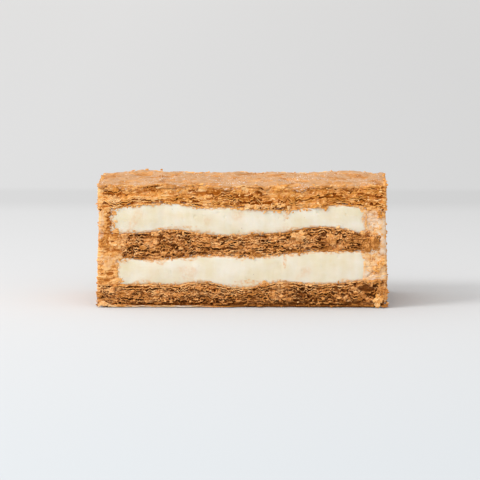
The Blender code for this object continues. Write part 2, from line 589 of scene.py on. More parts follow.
@dataclass
class Layer:
    """One layer of the slice, cut on all four sides.

    Attributes:
        name: Name of the piece.
        node: CAD node that it stands for.
        seed: Picks its random draws.
        spots: What is particular to its front cut.
        stretch: How far its left and its right end go past its node's.
    """

    name: str
    node: str
    seed: int
    spots: tuple[Spot, ...] = ()
    stretch: Pair = (0.0, 0.0)

    STEPS = (320, 136)
    ROWS = 28
    CAPS = (3, 3)
    CAP_INSET = 1.7 * MM
    INSET = 0.4 * MM
    CORNER = 1.0 * MM
    TUCK = 1.0 * MM
    PIT_UNREST = 0.35
    SMOOTH = False

    def __post_init__(self) -> None:
        """Reads the node and sets out the cut."""
        shape, (left, right) = NodeShape(self.node), self.stretch
        centre = (shape.low[:2] + shape.high[:2]) / 2 + ((right - left) / 2, 0.0)
        half = (shape.high[:2] - shape.low[:2]) / 2 - self.INSET + ((left + right) / 2, 0.0)
        self.outline = CutOutline(centre, half, self.CORNER, self.STEPS, self.CAP_INSET)
        self.shape, self.under, self.over = shape, shape.face(False), shape.face(True)
        self.noise, self.pebbles = SpaceNoise(self.seed), PebbleField(self.seed)
        self.edge = self.outline.wall_point(self.CORNER)
        self.left_end = centre[0] - half[0]

    def lower(self, x: Array, y: Array) -> Array:
        """Height of its lower face."""
        return self.under(x, y) - self.TUCK

    def upper(self, x: Array, y: Array) -> Array:
        """Height of its upper face."""
        return self.over(x, y) + self.TUCK

    def waves(self, places: Array, waves: tuple[Wave, ...]) -> Array:
        """Adds up waves of several lengths.

        Args:
            places: Points in space.
            waves: The strength of each, its length in millimetres and its shift.

        Returns:
            Their sum at each point.
        """
        return sum(size * self.noise.at(places + shift, length * MM) for size, length, shift in waves)

    def on_cut(self, heights: Array) -> Array:
        """Points on the cut, at heights with the stations on the last axis."""
        return spread(np.broadcast_to(self.edge, (*heights.shape, 2)), heights)

    def even_rows(self) -> tuple[Array, Array, Array, Array]:
        """Sets out even rows of points over the cut.

        Returns:
            Its lowest and its highest height at each station, the rows' heights and their points.
        """
        low, high = self.lower(*self.edge.T), self.upper(*self.edge.T)
        heights = low + np.linspace(0.0, 1.0, self.ROWS)[:, None] * (high - low)
        return low, high, heights, self.on_cut(heights)

    def marks(self, places: Array, rough: Array) -> tuple[Array, Array, Array, Array]:
        """Lays the layer's spots over its cut.

        Args:
            places: Points on the cut.
            rough: Noise that breaks up the spots' rims.

        Returns:
            Their depth in metres, tone, calm and smear at each point.
        """
        depth, tone, calm, smear = np.zeros((4, *rough.shape))
        for spot in self.spots:
            share = spot.share(places[..., 0], places[..., 2], rough) * self.outline.front
            tone += spot.tone * share
            for values, strength in ((depth, spot.depth), (calm, spot.calm), (smear, spot.smear)):
                np.maximum(values, strength * share, out=values)
        return depth * (1.0 + self.PIT_UNREST * rough) * MM, tone, calm, smear

    def closed(self, depths: Array, heights: Array, values: dict[str, Array]) -> Surface:
        """Closes the layer's wall below and above.

        Args:
            depths: How far in each point of the wall lies, row by row, or how far in each row lies.
            heights: The points' heights, in rows with the stations along each.
            values: Their named values, in the same rows or for each station.

        Returns:
            The closed layer.
        """
        rows, stations = heights.shape
        grid = np.arange(heights.size).reshape(rows, stations)
        quads = [grid_faces(np.concatenate([grid, grid[:, :1]], axis=1))]
        wall = spread(self.outline.wall_point(depths), heights)
        triangles, points, count = [], [wall.reshape(-1, 3)], heights.size
        for ring, height, cap, way in (
            (grid[0], self.lower, self.CAPS[0], -1), (grid[-1], self.upper, self.CAPS[1], 1)
        ):
            flat, cap_quads, cap_triangles = self.outline.cap(ring, count, cap)
            points.append(spread(flat, height(*flat.T)))
            quads.append(cap_quads[:, ::way])
            triangles.append(cap_triangles[:, ::way])
            count += len(flat)
        points, quads, triangles = map(np.concatenate, (points, quads, triangles))
        values = {label: np.broadcast_to(value, heights.shape) for label, value in values.items()}
        values = {label: np.pad(value.ravel(), (0, count - value.size)) for label, value in values.items()}
        lay = self.outline.unroll(rows, quads, triangles, points)
        return Surface(points, quads, triangles, values, lay)

    def place(self, material: bpy.types.Material, slot: str) -> Surface:
        """Builds the layer and adds it to the scene.

        Args:
            material: Its material.
            slot: A material slot name, passed on to the surface.

        Returns:
            Its surface.
        """
        made = self.build()
        made.place(self.name, material, slot, self.node, self.SMOOTH)
        return made


# Pastry


@dataclass
class BubbleRow:
    """The bubbles between two leaves, all the way round a sheet.

    Attributes:
        chance: Source of the random draws.
        length: Distance once round the sheet.
        width: Usual width of a bubble.
        opened: Share of the bubbles that the cut has opened.
        unrest: How much their heights differ.
    """

    chance: np.random.Generator
    length: float
    width: float
    opened: float
    unrest: float

    CLOSED_DEPTH = (0.05 * MM, 0.45 * MM)
    OPEN_DEPTH = (0.7 * MM, 2.3 * MM)
    MEMBRANE_DEPTH = (0.0 * MM, 0.8 * MM)
    MEMBRANE = 0.11 * MM
    SOFT = 0.26 * MM
    LEAST_SWELL = 1.2
    OPEN_SWELL, CLOSED_SWELL = 1.15, 0.8
    WIDTH_SPREAD = 0.55
    TONE_SPREAD = 0.35

    def __post_init__(self) -> None:
        """Draws the bubbles and the membranes between them."""
        chance, count = self.chance, int(self.length / self.width)
        widths = np.exp(chance.normal(0.0, self.WIDTH_SPREAD, count))
        self.edges = np.concatenate([[0.0], np.cumsum(widths)]) * self.length / widths.sum()
        is_open = chance.random(count) < self.opened
        opened, closed = (chance.uniform(*depth, count) for depth in (self.OPEN_DEPTH, self.CLOSED_DEPTH))
        self.depth = np.where(is_open, opened, closed)
        self.swell = np.where(is_open, self.OPEN_SWELL, self.CLOSED_SWELL)
        self.swell *= np.exp(chance.normal(0.0, self.unrest, count))
        self.membrane = chance.uniform(*self.MEMBRANE_DEPTH, count + 1)
        self.membrane[-1] = self.membrane[0]
        self.tone = chance.normal(0.0, self.TONE_SPREAD, count)

    def read(self, arc: Array) -> tuple[Array, Array, Array]:
        """Reads the row at distances round the sheet.

        Args:
            arc: The distances.

        Returns:
            How tall the gap is, how deep the cut is open and how dark it is baked.
        """
        lap = np.mod(arc, self.edges[-1])
        place = np.clip(np.searchsorted(self.edges, lap, side="right") - 1, 0, len(self.depth) - 1)
        left, right = lap - self.edges[place], self.edges[place + 1] - lap
        arch = np.sin(np.pi * np.clip(left / (left + right), 0, 1))
        wall = self.membrane[np.where(left < right, place, place + 1)]
        share = rise(np.minimum(left, right), self.MEMBRANE, self.SOFT)
        hollow = wall + (np.maximum(self.depth[place], wall) - wall) * share
        return self.swell[place] * (self.LEAST_SWELL + arch), hollow, self.tone[place]


@dataclass
class FlakySheet(Layer):
    """One sheet of puff pastry: leaves over rows of bubbles.

    Attributes:
        leaves: How many leaves show one above the other.
        bubble: Usual width of a bubble.
        opened: Share of the bubbles that the cut has opened.
        shut: Share of their depth that bubbles keep where the sheet is dense.
        unrest: How much the leaves rise and fall.
        breaks: Share of a leaf's run that is broken away.
        crumbs: How crumbly its cuts are.
        floor: Height that its lowest leaf keeps over the table.
        ceiling: How far its inside stays below its node's upper face.
        crevices: Long gaps on its front cut.
        crevice_depth: How deep its long gaps are.
        undercut: How far its lowest leaves stand back at the right end.
        scorched: How much darker its lowest leaves are, partly by baking and partly as painted contact
            shade.
    """

    leaves: int = 9
    bubble: float = 1.7 * MM
    opened: float = 0.7
    shut: float = 0.35
    unrest: float = 0.3
    breaks: float = 0.3
    crumbs: float = 1.0
    floor: float = 0.0
    ceiling: float = 0.0
    crevices: tuple[Crevice, ...] = ()
    crevice_depth: float = 2.4 * MM
    undercut: float = 0.0
    scorched: float = 0.0

    STEPS = (440, 200)
    INSET = 0.62 * MM
    CORNER = 1.3 * MM
    LEAF = 0.36 * MM
    RAGGED = 0.4 * MM
    GAP_ROWS = (0.12, 0.38, 0.62, 0.88)
    GAP_STEP = 0.35
    # Gap rows between the leaves get painted shade; leaf rows are made paler.
    GAP_DARK, LEAF_PALE = 0.1, 0.15
    LEAF_SPREAD = 0.3
    MOST_LEAF = 0.6
    SAG = 0.12 * MM
    TEAR, TEAR_RIM = 0.62, 0.12
    RIM_WAVES = ((0.45, 3.6, 0.3), (0.3, 1.3, 5.7))
    FLOOR_WAVES = ((0.55, 5.0, 8.1),)
    LEAF_WAVES = ((0.35, 2.4, 2.1),)
    DRIFT_WAVES = ((1.0, 7.0, 3.3),)
    LEAN_WAVES = ((0.15, 2.0, 4.9),)
    STEP_WAVES = ((1.0, 5.0, 6.1), (0.6, 1.3, 7.7))
    TEAR_WAVES = ((1.0, 2.1, 8.3),)
    TONE_WAVES = ((0.35, 4.0, 9.1),)
    WAVES = ((0.3, 2.6, 0.0), (0.34, 9.0, 0.0))
    GRAIN = 0.06 * MM
    DEEPEST = 3.0 * MM
    RIM_DEEPEST = 0.35 * MM
    CREVICE_FADE = 1.4 * MM
    BREAK_DEPTH = 1.1 * MM
    LEAF_SPACING = 10.0
    RIM_BELOW = 0.2 * MM
    SQUEEZE = 1.7
    SEAM = 0.25
    LOOSEST, LOOSE, LOOSE_PATCH = 0.75, 0.55, 1.1
    SPOT_NOISE = 1.3 * MM
    CRUMBS = ((2.3 * MM, 0.5 * MM), (1.0 * MM, 0.22 * MM))
    CRUMB_TONE, CRUMB_STEP, CRUMB_SEAM = 1.1, 1.2, 0.7
    PATCH = (9.0 * MM, 9.0 * MM, 3.4 * MM)
    SMALL_PATCH, SMALL_STRENGTH = (4.0 * MM, 4.0 * MM, 1.8 * MM), 0.7
    PATCH_TONE = 0.7
    FADE, FADE_WAVE, FADE_SIZE = 0.4, 2.0 * MM, 2.4 * MM
    UNDERCUT_HEIGHT = 2.2 * MM
    RIGHT_CUT, RIGHT_REACH = 7 * MM, 5 * MM
    LEFT_CUT, LEFT_SHARE = 3 * MM, 0.6
    LONG_CUT = ((0.65, 0.35), (-44 * MM, 6 * MM))
    SCORCH_RANGE = (-46 * MM, 8 * MM)
    SCORCH_HEIGHT = 0.65 * MM
    HOLLOW_TONE = (0.2 * MM, 1.5 * MM)

    def lower(self, x: Array, y: Array) -> Array:
        """Height of its lower face."""
        return np.maximum(self.under(x, y), self.floor)

    def upper(self, x: Array, y: Array) -> Array:
        """Height of its upper face."""
        return self.over(x, y) - self.ceiling

    def along(self, count: int, waves: tuple[Wave, ...]) -> Array:
        """Adds up waves along each of several leaves, each leaf with its own.

        Args:
            count: How many leaves.
            waves: The strength of each, its length in millimetres and its shift.

        Returns:
            A row of values for each leaf.
        """
        leaf, total = np.arange(count)[:, None], np.zeros((count, self.outline.count))
        for strength, length, shift in waves:
            level = np.broadcast_to((leaf * self.LEAF_SPACING + shift) * length * MM, total.shape)
            total += strength * self.noise.at(self.on_cut(level), length * MM)
        return total

    def bounds(self) -> tuple[Array, Array]:
        """Where the sheet's cut begins and ends at each station.

        Returns:
            The lowest and the highest height.
        """
        x, y = self.edge.T
        uneven = self.along(2, self.RIM_WAVES) * MM
        floor = self.floor * (1.0 + self.along(1, self.FLOOR_WAVES)[0])
        low = np.maximum(self.under(x, y) + uneven[0] - self.SAG, floor)
        return low, self.over(x, y) - min(self.ceiling, self.RIM_BELOW) + uneven[1]

    def stack(self, sizes: Array, low: Array, high: Array) -> tuple[Array, Array]:
        """Stacks the leaves and the gaps between them.

        Args:
            sizes: Height of each gap, against the others.
            low: Where the stack begins.
            high: Where it ends.

        Returns:
            The height of each leaf's lower side, and its thickness.
        """
        leaf = self.LEAF * np.exp(self.along(self.leaves, self.LEAF_WAVES))
        leaf *= np.minimum(1.0, self.MOST_LEAF * (high - low) / leaf.sum(axis=0))
        gaps = sizes * (high - low - leaf.sum(axis=0)) / sizes.sum(axis=0)
        steps = np.concatenate([low[None], gaps + leaf[:-1]])
        return np.cumsum(steps, axis=0), leaf

    def open_crevices(self, sizes: Array, low: Array, high: Array) -> Array:
        """Widens the gaps that lie nearest to the sheet's crevices.

        Args:
            sizes: Height of each gap against the others, changed in place.
            low: Where the stack begins.
            high: Where it ends.

        Returns:
            How far each gap belongs to a crevice, from 0 to 1.
        """
        share = np.zeros_like(sizes)
        x = self.edge[:, 0]
        for crevice in self.crevices:
            bottoms, leaf = self.stack(sizes, low, high)
            middles = (bottoms[:-1] + leaf[:-1] + bottoms[1:]) / 2
            window = rise(x, crevice.start * MM, self.CREVICE_FADE) * self.outline.front
            window *= rise(x, crevice.end * MM, -self.CREVICE_FADE)
            gap = int(np.argmin(np.abs(middles - crevice.height * MM) @ window))
            wanted = crevice.opening * MM * sizes.sum(axis=0) / (high - low - leaf.sum(axis=0))
            sizes[gap] += (np.maximum(wanted, sizes[gap]) - sizes[gap]) * window
            share[gap] = np.maximum(share[gap], window)
        return share

    def rows(self, low: Array, high: Array) -> tuple[Array, Array, Array, Array, Array]:
        """Draws the leaves and the bubbles, row by row.

        Args:
            low: Where the cut begins at each station.
            high: Where it ends.

        Returns:
            The height of each row, its step in or out, the depth of its bubbles, the depth of its long
            gaps and its tone, with painted shade added in the rows between the leaves.
        """
        chance, gaps = self.chance, self.leaves - 1
        drift, lean = self.along(gaps, self.DRIFT_WAVES), self.along(gaps, self.LEAN_WAVES) * MM
        length = float(4 * self.outline.half.sum())
        bubbles = [BubbleRow(chance, length, self.bubble, self.opened, self.unrest) for _ in range(gaps)]
        sizes = np.stack([row.read(self.outline.arc)[0] for row in bubbles]) * np.exp(self.unrest * drift)
        crevice = self.open_crevices(sizes, low, high) * self.crevice_depth
        bottoms, leaf = self.stack(sizes, low, high)
        leaf_step, leaf_tone = chance.normal(0.0, self.LEAF_SPREAD, (2, self.leaves, 1))
        step = self.RAGGED * (self.along(self.leaves, self.STEP_WAVES) + leaf_step + self.LEAF_SPREAD)
        torn = rise(self.along(self.leaves, self.TEAR_WAVES), self.TEAR - self.breaks, self.TEAR_RIM)
        torn *= self.BREAK_DEPTH
        tone = leaf_tone + self.along(self.leaves, self.TONE_WAVES)
        step[[0, -1]] = np.minimum(step[[0, -1]], self.RIM_DEEPEST)
        torn[[0, -1]] = 0.0
        made, none = [], np.zeros_like(low)
        for index, (bottom, thick) in enumerate(zip(bottoms, leaf)):
            for level in (0.0, 1.0):
                shade = tone[index] - self.LEAF_PALE
                made.append((bottom + level * thick, step[index], torn[index], none, shade))
            if index == gaps:
                break
            for level in self.GAP_ROWS:
                _, hollow, shade = bubbles[index].read(self.outline.arc + lean[index] * (level - 0.5) * 2)
                height = bottom + thick + level * (bottoms[index + 1] - bottom - thick)
                # Painted shade: rows between the leaves are darkened.
                shade += self.GAP_DARK
                made.append((height, self.GAP_STEP * step[index], hollow, crevice[index], shade))
        return tuple(np.stack(part) for part in zip(*made))

    def build(self) -> Surface:
        """Models the sheet.

        Returns:
            Its closed surface.
        """
        self.chance = np.random.default_rng(self.seed)
        noise, (low, high) = self.noise, self.bounds()
        heights, depths, holes, long_gaps, tones = self.rows(low, high)
        places = self.on_cut(heights)
        pit, baked, calm, smear = self.marks(places, noise.at(places, self.SPOT_NOISE))
        patch = noise.at(places, self.PATCH)
        patch += self.SMALL_STRENGTH * noise.at(places + 3, self.SMALL_PATCH)
        loose = ease(self.LOOSE + self.LOOSE_PATCH * patch)
        holes *= (self.shut + self.LOOSEST * loose) * (1.0 - calm)
        depths += np.maximum(holes, long_gaps) + self.GRAIN * self.chance.normal(size=depths.shape)
        depths += self.waves(places, self.WAVES) * MM
        tones += self.PATCH_TONE * patch + baked
        for pitch, strength in self.CRUMBS:
            near, gap, weight = self.pebbles.at(places * (1.0, 1.0, self.SQUEEZE), pitch)
            seam = 1.0 - ease(gap / self.SEAM)
            bulk = near + self.CRUMB_STEP * weight - 1.0 + self.CRUMB_SEAM * seam
            depths += self.crumbs * strength * bulk
            tones += self.crumbs * self.CRUMB_TONE * (0.5 - weight)
        depths = np.maximum(depths, pit)
        x, above = places[..., 0], heights - low
        right_end = self.outline.centre[0] + self.outline.half[0]
        (end_share, long_share), long_range = self.LONG_CUT
        cut = end_share * rise(x, right_end - self.RIGHT_CUT, self.RIGHT_REACH)
        cut += long_share * rise(x, *long_range)
        depths += self.undercut * cut * ease(1.3 - above / self.UNDERCUT_HEIGHT)
        # The lowest leaves are darkened near the table past the left end: partly darker baking and partly
        # painted contact shade.
        tones += self.scorched * rise(x, *self.SCORCH_RANGE) * ease(1.5 - above / self.SCORCH_HEIGHT)
        beyond = self.shape.low[0] - x + self.FADE_WAVE * noise.at(places, self.FADE_SIZE)
        depths = (depths + self.FADE * np.maximum(beyond, 0.0)) * self.outline.from_corner
        left = self.LEFT_SHARE * rise(x, self.left_end + self.LEFT_CUT, -self.LEFT_CUT)
        depths += self.undercut * left * ease(1.0 - above / self.UNDERCUT_HEIGHT)
        depths = np.clip(depths, -0.95 * self.INSET, self.DEEPEST)
        # Painted shade: the recess value darkens the deeper hollows of the cut, less where spots calm them.
        shallow, deep = self.HOLLOW_TONE
        recess = rise(depths, shallow, deep - shallow) * (1.0 - 0.7 * calm)
        return self.closed(depths, heights, {"tone": tones, "recess": recess, "smear": smear})


# Cream, crumbs, skin and base


@dataclass
class CreamLayer(Layer):
    """A layer of set vanilla cream, cut clean on the two long sides."""

    SMOOTH = True
    END_TUCK = 2.4 * MM
    END_FADE = 0.5
    HOLLOW = 0.25 * MM
    SWELL = 0.3 * MM
    PORE = 0.22 * MM
    DRAG = (1.7 * MM, 1.7 * MM, 16 * MM)
    DRAG_DEPTH = 0.035 * MM
    WAVES = ((0.34, 13.0, 0.0), (0.16, 4.5, 1.0), (0.03, 0.8, 0.0))
    RIM_WAVES = ((1.1, 2.6, 6.0),)
    REACH_WAVES = ((1.2, 5.0, 0.0), (0.5, 1.6, 0.0))
    ARCH_RANGE, REACH_RANGE = (-0.3, 1.0), (0.1, 2.0)
    PORE_SIZE, PORE_RANGE = 1.5 * MM, (0.66, 0.1)
    RIM_DEPTH = 6 * MM
    DEEPEST = 2 * MM
    EDGE_SMEAR, END_SMEAR = 1.9 * MM, 1.2 * MM
    PATCH, PATCH_RANGE, PATCH_SMEAR = 7 * MM, (0.1, 0.5), 0.45
    SPOT_NOISE = 1.6 * MM
    DRAG_TONE = 0.6

    def build(self) -> Surface:
        """Models the layer.

        Returns:
            Its closed surface.
        """
        noise, (low, high, heights, places) = self.noise, self.even_rows()
        shown = (heights - low - self.TUCK) / (high - low - 2 * self.TUCK)
        arch = np.clip(1.0 - (2.0 * shown - 1.0) ** 2, *self.ARCH_RANGE)
        drag = noise.at(places, self.DRAG)
        pores = rise(noise.at(places + 2, self.PORE_SIZE), *self.PORE_RANGE)
        depth = self.HOLLOW - self.SWELL * arch + self.DRAG_DEPTH * drag + self.PORE * pores
        depth += self.waves(places, self.WAVES) * MM
        depth += self.RIM_DEPTH * np.maximum(np.abs(2 * shown - 1) - 1, 0.0)
        beyond = np.abs(places[..., 0] - self.outline.centre[0]) - self.outline.half[0] + self.END_TUCK
        beyond += (0.5 + self.waves(places, self.RIM_WAVES)) * MM
        depth = np.clip(depth + self.END_FADE * np.maximum(beyond, 0.0), -self.INSET, self.DEEPEST)
        from_pastry = np.minimum(heights - low, high - heights) - self.TUCK
        reach = self.EDGE_SMEAR * np.clip(0.5 + self.waves(places, self.REACH_WAVES), *self.REACH_RANGE)
        smear = np.maximum(ease(1.0 - from_pastry / reach), ease(1.0 + beyond / self.END_SMEAR))
        patch = rise(noise.at(places + 4, self.PATCH), *self.PATCH_RANGE)
        smear = np.maximum(smear, self.PATCH_SMEAR * patch)
        smear = np.maximum(smear, self.marks(places, noise.at(places, self.SPOT_NOISE))[3])
        return self.closed(depth, heights, {"tone": self.DRAG_TONE * drag, "smear": smear, "recess": pores})


@dataclass
class CrumbCoat(Layer):
    """Pastry crumbs pressed onto one end of the slice.

    Attributes:
        end: -1 at the left end and 1 at the right end.
        creamy: Share of it that is smeared with cream.
        pressed: How much flatter than wide its crumbs are.
        calm: How much smoother than usual it is pressed.
    """

    end: int = 1
    creamy: float = 0.0
    pressed: float = 1.0
    calm: float = 0.0

    STEPS = (48, 168)
    ROWS = 84
    CAPS = (2, 2)
    CAP_INSET = 1.0 * MM
    INSET = 0.75 * MM
    CORNER = 1.1 * MM
    TUCK = 0.8 * MM
    COARSE, FINE = 2.7 * MM, 1.1 * MM
    SEAM, FINE_SEAM = 0.22, 0.3
    SEAM_DEPTH, FINE_SEAM_DEPTH, SEAMLESS = 0.45, 0.5, 0.35
    ROUND, STEP, FINE_ROUND = 0.75, 0.5, 0.3
    WARP, WARP_SIZE = 0.5 * MM, 2 * MM
    SPOT_NOISE = 1.3 * MM
    PLATES, PLATE_DEPTH = (4 * MM, 4 * MM, 0.8 * MM), 0.5 * MM
    PROUD, LESS_PROUD = 0.35, 0.25
    UNEVEN, UNEVEN_SIZE = 0.3 * MM, 6 * MM
    TONE, FINE_TONE, PALER = 1.1, 0.7, 0.15
    CREAM_WAVES = ((1 / 0.6, 5.0, 0.0), (0.5 / 0.6, 2.0, 3.0))
    FLATTENED = 0.7
    DEEPEST = 0.95 * MM
    OVERLAP = 3.0 * MM

    def build(self) -> Surface:
        """Models the coat.

        Returns:
            Its closed surface.
        """
        noise, (_, _, heights, places) = self.noise, self.even_rows()
        warped = places * (1, 1, self.pressed) + self.WARP * noise.at(places, self.WARP_SIZE)[..., None]
        near, gap, weight = self.pebbles.at(warped, self.COARSE)
        small_near, small_gap, small_weight = self.pebbles.at(warped + 1, self.FINE)
        pit, baked, calm, smear = self.marks(places, noise.at(places, self.SPOT_NOISE))
        cream = ease(self.waves(places, self.CREAM_WAVES) + self.creamy)
        cream = np.maximum(cream * (1.0 - calm), smear)
        seams = self.SEAM_DEPTH * (1 - ease(gap / self.SEAM))
        fine_seams = self.FINE_SEAM_DEPTH * (1 - ease(small_gap / self.FINE_SEAM))
        seams += fine_seams * (small_weight > self.SEAMLESS)
        crumbs = self.ROUND * near**2 + self.STEP * (weight - 0.5) + self.FINE_ROUND * small_near
        depth = MM * (crumbs + seams)
        depth += self.PLATE_DEPTH * (self.pressed - 1) * noise.at(places, self.PLATES)
        depth *= (1 - self.FLATTENED * cream) * (1 - self.calm)
        depth -= (self.PROUD - self.LESS_PROUD * self.calm) * MM
        depth = np.maximum(depth + self.UNEVEN * noise.at(places, self.UNEVEN_SIZE), pit)
        depth = np.clip(depth, -self.INSET, self.DEEPEST)
        tone = self.TONE * (weight - 0.5) + self.FINE_TONE * (small_weight - 0.5)
        tone += -self.PALER + self.calm + baked
        # Painted shade: the recess value darkens the coat's deeper seams and hollows, less under cream.
        recess = ease(depth / self.DEEPEST) * (1 - self.FLATTENED * cream)
        made = self.closed(depth, heights, {"tone": tone, "recess": recess, "smear": cream})
        x, z = made.points[:, 0], made.points[:, 2]
        outer, inner = self.outline.centre[0] + self.end * np.array([1, -1]) * self.outline.half[0]
        outer_shift = self.shape.end_face(self.end, True, z) - outer
        inner_shift = self.shape.end_face(self.end, False, z) - self.end * self.OVERLAP - inner
        across = np.clip((x - outer) / (inner - outer), 0.0, 1.0)
        made.points[:, 0] += outer_shift + (inner_shift - outer_shift) * across
        return made


@dataclass
class GlazedSkin(Layer):
    """The blistered leaf on top, glazed with sugar, with a frayed rim."""

    STEPS = (528, 240)
    CAPS = (2, 1)
    CAP_INSET = 0.25 * MM
    INSET = 0.3 * MM
    CORNER = 0.8 * MM
    SMOOTH = True
    THICKNESS = 0.55 * MM
    SUNK = 0.1 * MM
    FRAY_REACH = 5.0 * MM
    FRAY = 1.1 * MM
    FRAY_INSET = 0.45 * MM
    LIP = 1.3 * MM
    CHIP = Spot((48.0, 0.0), (11.0, 8.0))
    CHIPPED = 3.0 * MM
    HEADROOM = 0.35 * MM
    HEADROOM_USED = 0.98
    DROOP, DROOP_REACH = 0.15 * MM, 1.6 * MM
    BLISTER, BLISTER_HEIGHT, BLISTER_SIZE = 4.6 * MM, 0.6 * MM, 0.62
    WARP, WARP_SIZE = 0.8 * MM, 3 * MM
    PEEL, PEEL_SIZE, PEEL_RANGE = 0.26 * MM, 8 * MM, (0.1, 0.045)
    PIT, PIT_SIZE, PIT_RANGE = 0.35 * MM, 1.7 * MM, (0.52, 0.12)
    WAVES = ((0.28, 3.0, 0.0), (0.17, 1.3, 0.0), (0.05, 0.6, 0.0))
    HANG_WAVES = ((1.5, 8.0, 9.0), (0.6, 2.0, 0.0))
    FRAY_WAVES = ((1.0, 5.5, 0.0), (0.55, 1.5, 0.0))
    HANG = 0.35
    BULGE = 0.12 * MM
    LEVELS = np.array([[0.0], [0.35], [0.7], [1.0]])
    TONE_STRENGTHS, TONE_SIZES = (1.2, 0.3), (11 * MM, 2 * MM)

    def relief(self, x: Array, y: Array) -> tuple[Array, Array]:
        """Works out the skin's blisters and peeling leaves.

        Args:
            x: Places along the slice.
            y: Places across it.

        Returns:
            How far the skin stands over the plain crust, and where an upper leaf has peeled off.
        """
        noise, flat = self.noise, np.stack([x, y, 0.0 * x], axis=-1)
        warped = flat + self.WARP * noise.at(flat, self.WARP_SIZE)[..., None]
        near, _, weight = self.pebbles.at(warped, self.BLISTER)
        peeled = rise(noise.rough(flat + 5, self.PEEL_SIZE), *self.PEEL_RANGE)
        pits = rise(noise.at(flat + 7, self.PIT_SIZE), *self.PIT_RANGE)
        height = self.BLISTER_HEIGHT * np.clip(1 - near / self.BLISTER_SIZE, 0, 1) * weight
        height += self.waves(flat, self.WAVES) * MM - self.PEEL * peeled - self.PIT * pits
        return height, peeled

    def upper(self, x: Array, y: Array) -> Array:
        """Works out the height of the skin's upper face.

        Args:
            x: Places along the slice.
            y: Places across it.

        Returns:
            Its height over the table, which nears the node's highest point but never passes it.
        """
        from_rim = (self.outline.half - np.abs(np.stack([x, y], -1) - self.outline.centre)).min(axis=-1)
        height = self.over(x, y) + self.relief(x, y)[0] - self.SUNK
        height -= self.DROOP * ease(1 - from_rim / self.DROOP_REACH)
        limit = self.shape.high[2] - self.HEADROOM
        excess = np.maximum(height - limit, 0.0) / self.HEADROOM
        return np.minimum(height, limit) + self.HEADROOM_USED * self.HEADROOM * (1 - np.exp(-excess))

    def lower(self, x: Array, y: Array) -> Array:
        """Height of the skin's lower face."""
        return self.upper(x, y) - self.THICKNESS

    def frayed(self, points: Array) -> Array:
        """Draws the skin's rim in and out.

        Args:
            points: The skin's corners.

        Returns:
            The corners, moved level.
        """
        moved = points.copy()
        for axis in (0, 1):
            offset = points[:, axis] - self.outline.centre[axis]
            half, side = self.outline.half[axis], np.sign(offset)
            rim = points * (1.0, 1.0, 0.0)
            rim[:, axis] = side * half
            wave = self.waves(rim, self.FRAY_WAVES)
            inwards = np.maximum(self.FRAY_INSET + self.FRAY * wave, 0.0)
            inwards += self.CHIPPED * self.CHIP.share(rim[:, 0], 0.0, wave) * axis
            moved[:, axis] -= side * inwards * ease((np.abs(offset) - half) / self.FRAY_REACH + 1)
        return moved

    def build(self) -> Surface:
        """Models the skin.

        Returns:
            Its closed surface.
        """
        flat = self.outline.wall_point(0.0)
        rim = spread(flat, 0.0)
        thickness = self.THICKNESS + self.LIP * ease(self.HANG + self.waves(rim, self.HANG_WAVES))
        heights = self.upper(*flat.T) - (1 - self.LEVELS) * thickness
        made = self.closed(self.BULGE * (2 * self.LEVELS - 1) ** 2, heights, {})
        x, y, _ = made.points.T
        flat = np.stack([x, y, 0.0 * x], axis=-1)
        (broad, fine), (broad_size, fine_size) = self.TONE_STRENGTHS, self.TONE_SIZES
        tone = broad * self.noise.rough(flat, broad_size) + fine * self.noise.at(flat, fine_size)
        glazed = 1.0 - self.relief(x, y)[1]
        glazed[: heights.size] = 0.0
        made.values = {"tone": tone, "smear": glazed}
        made.points = self.frayed(made.points)
        return made


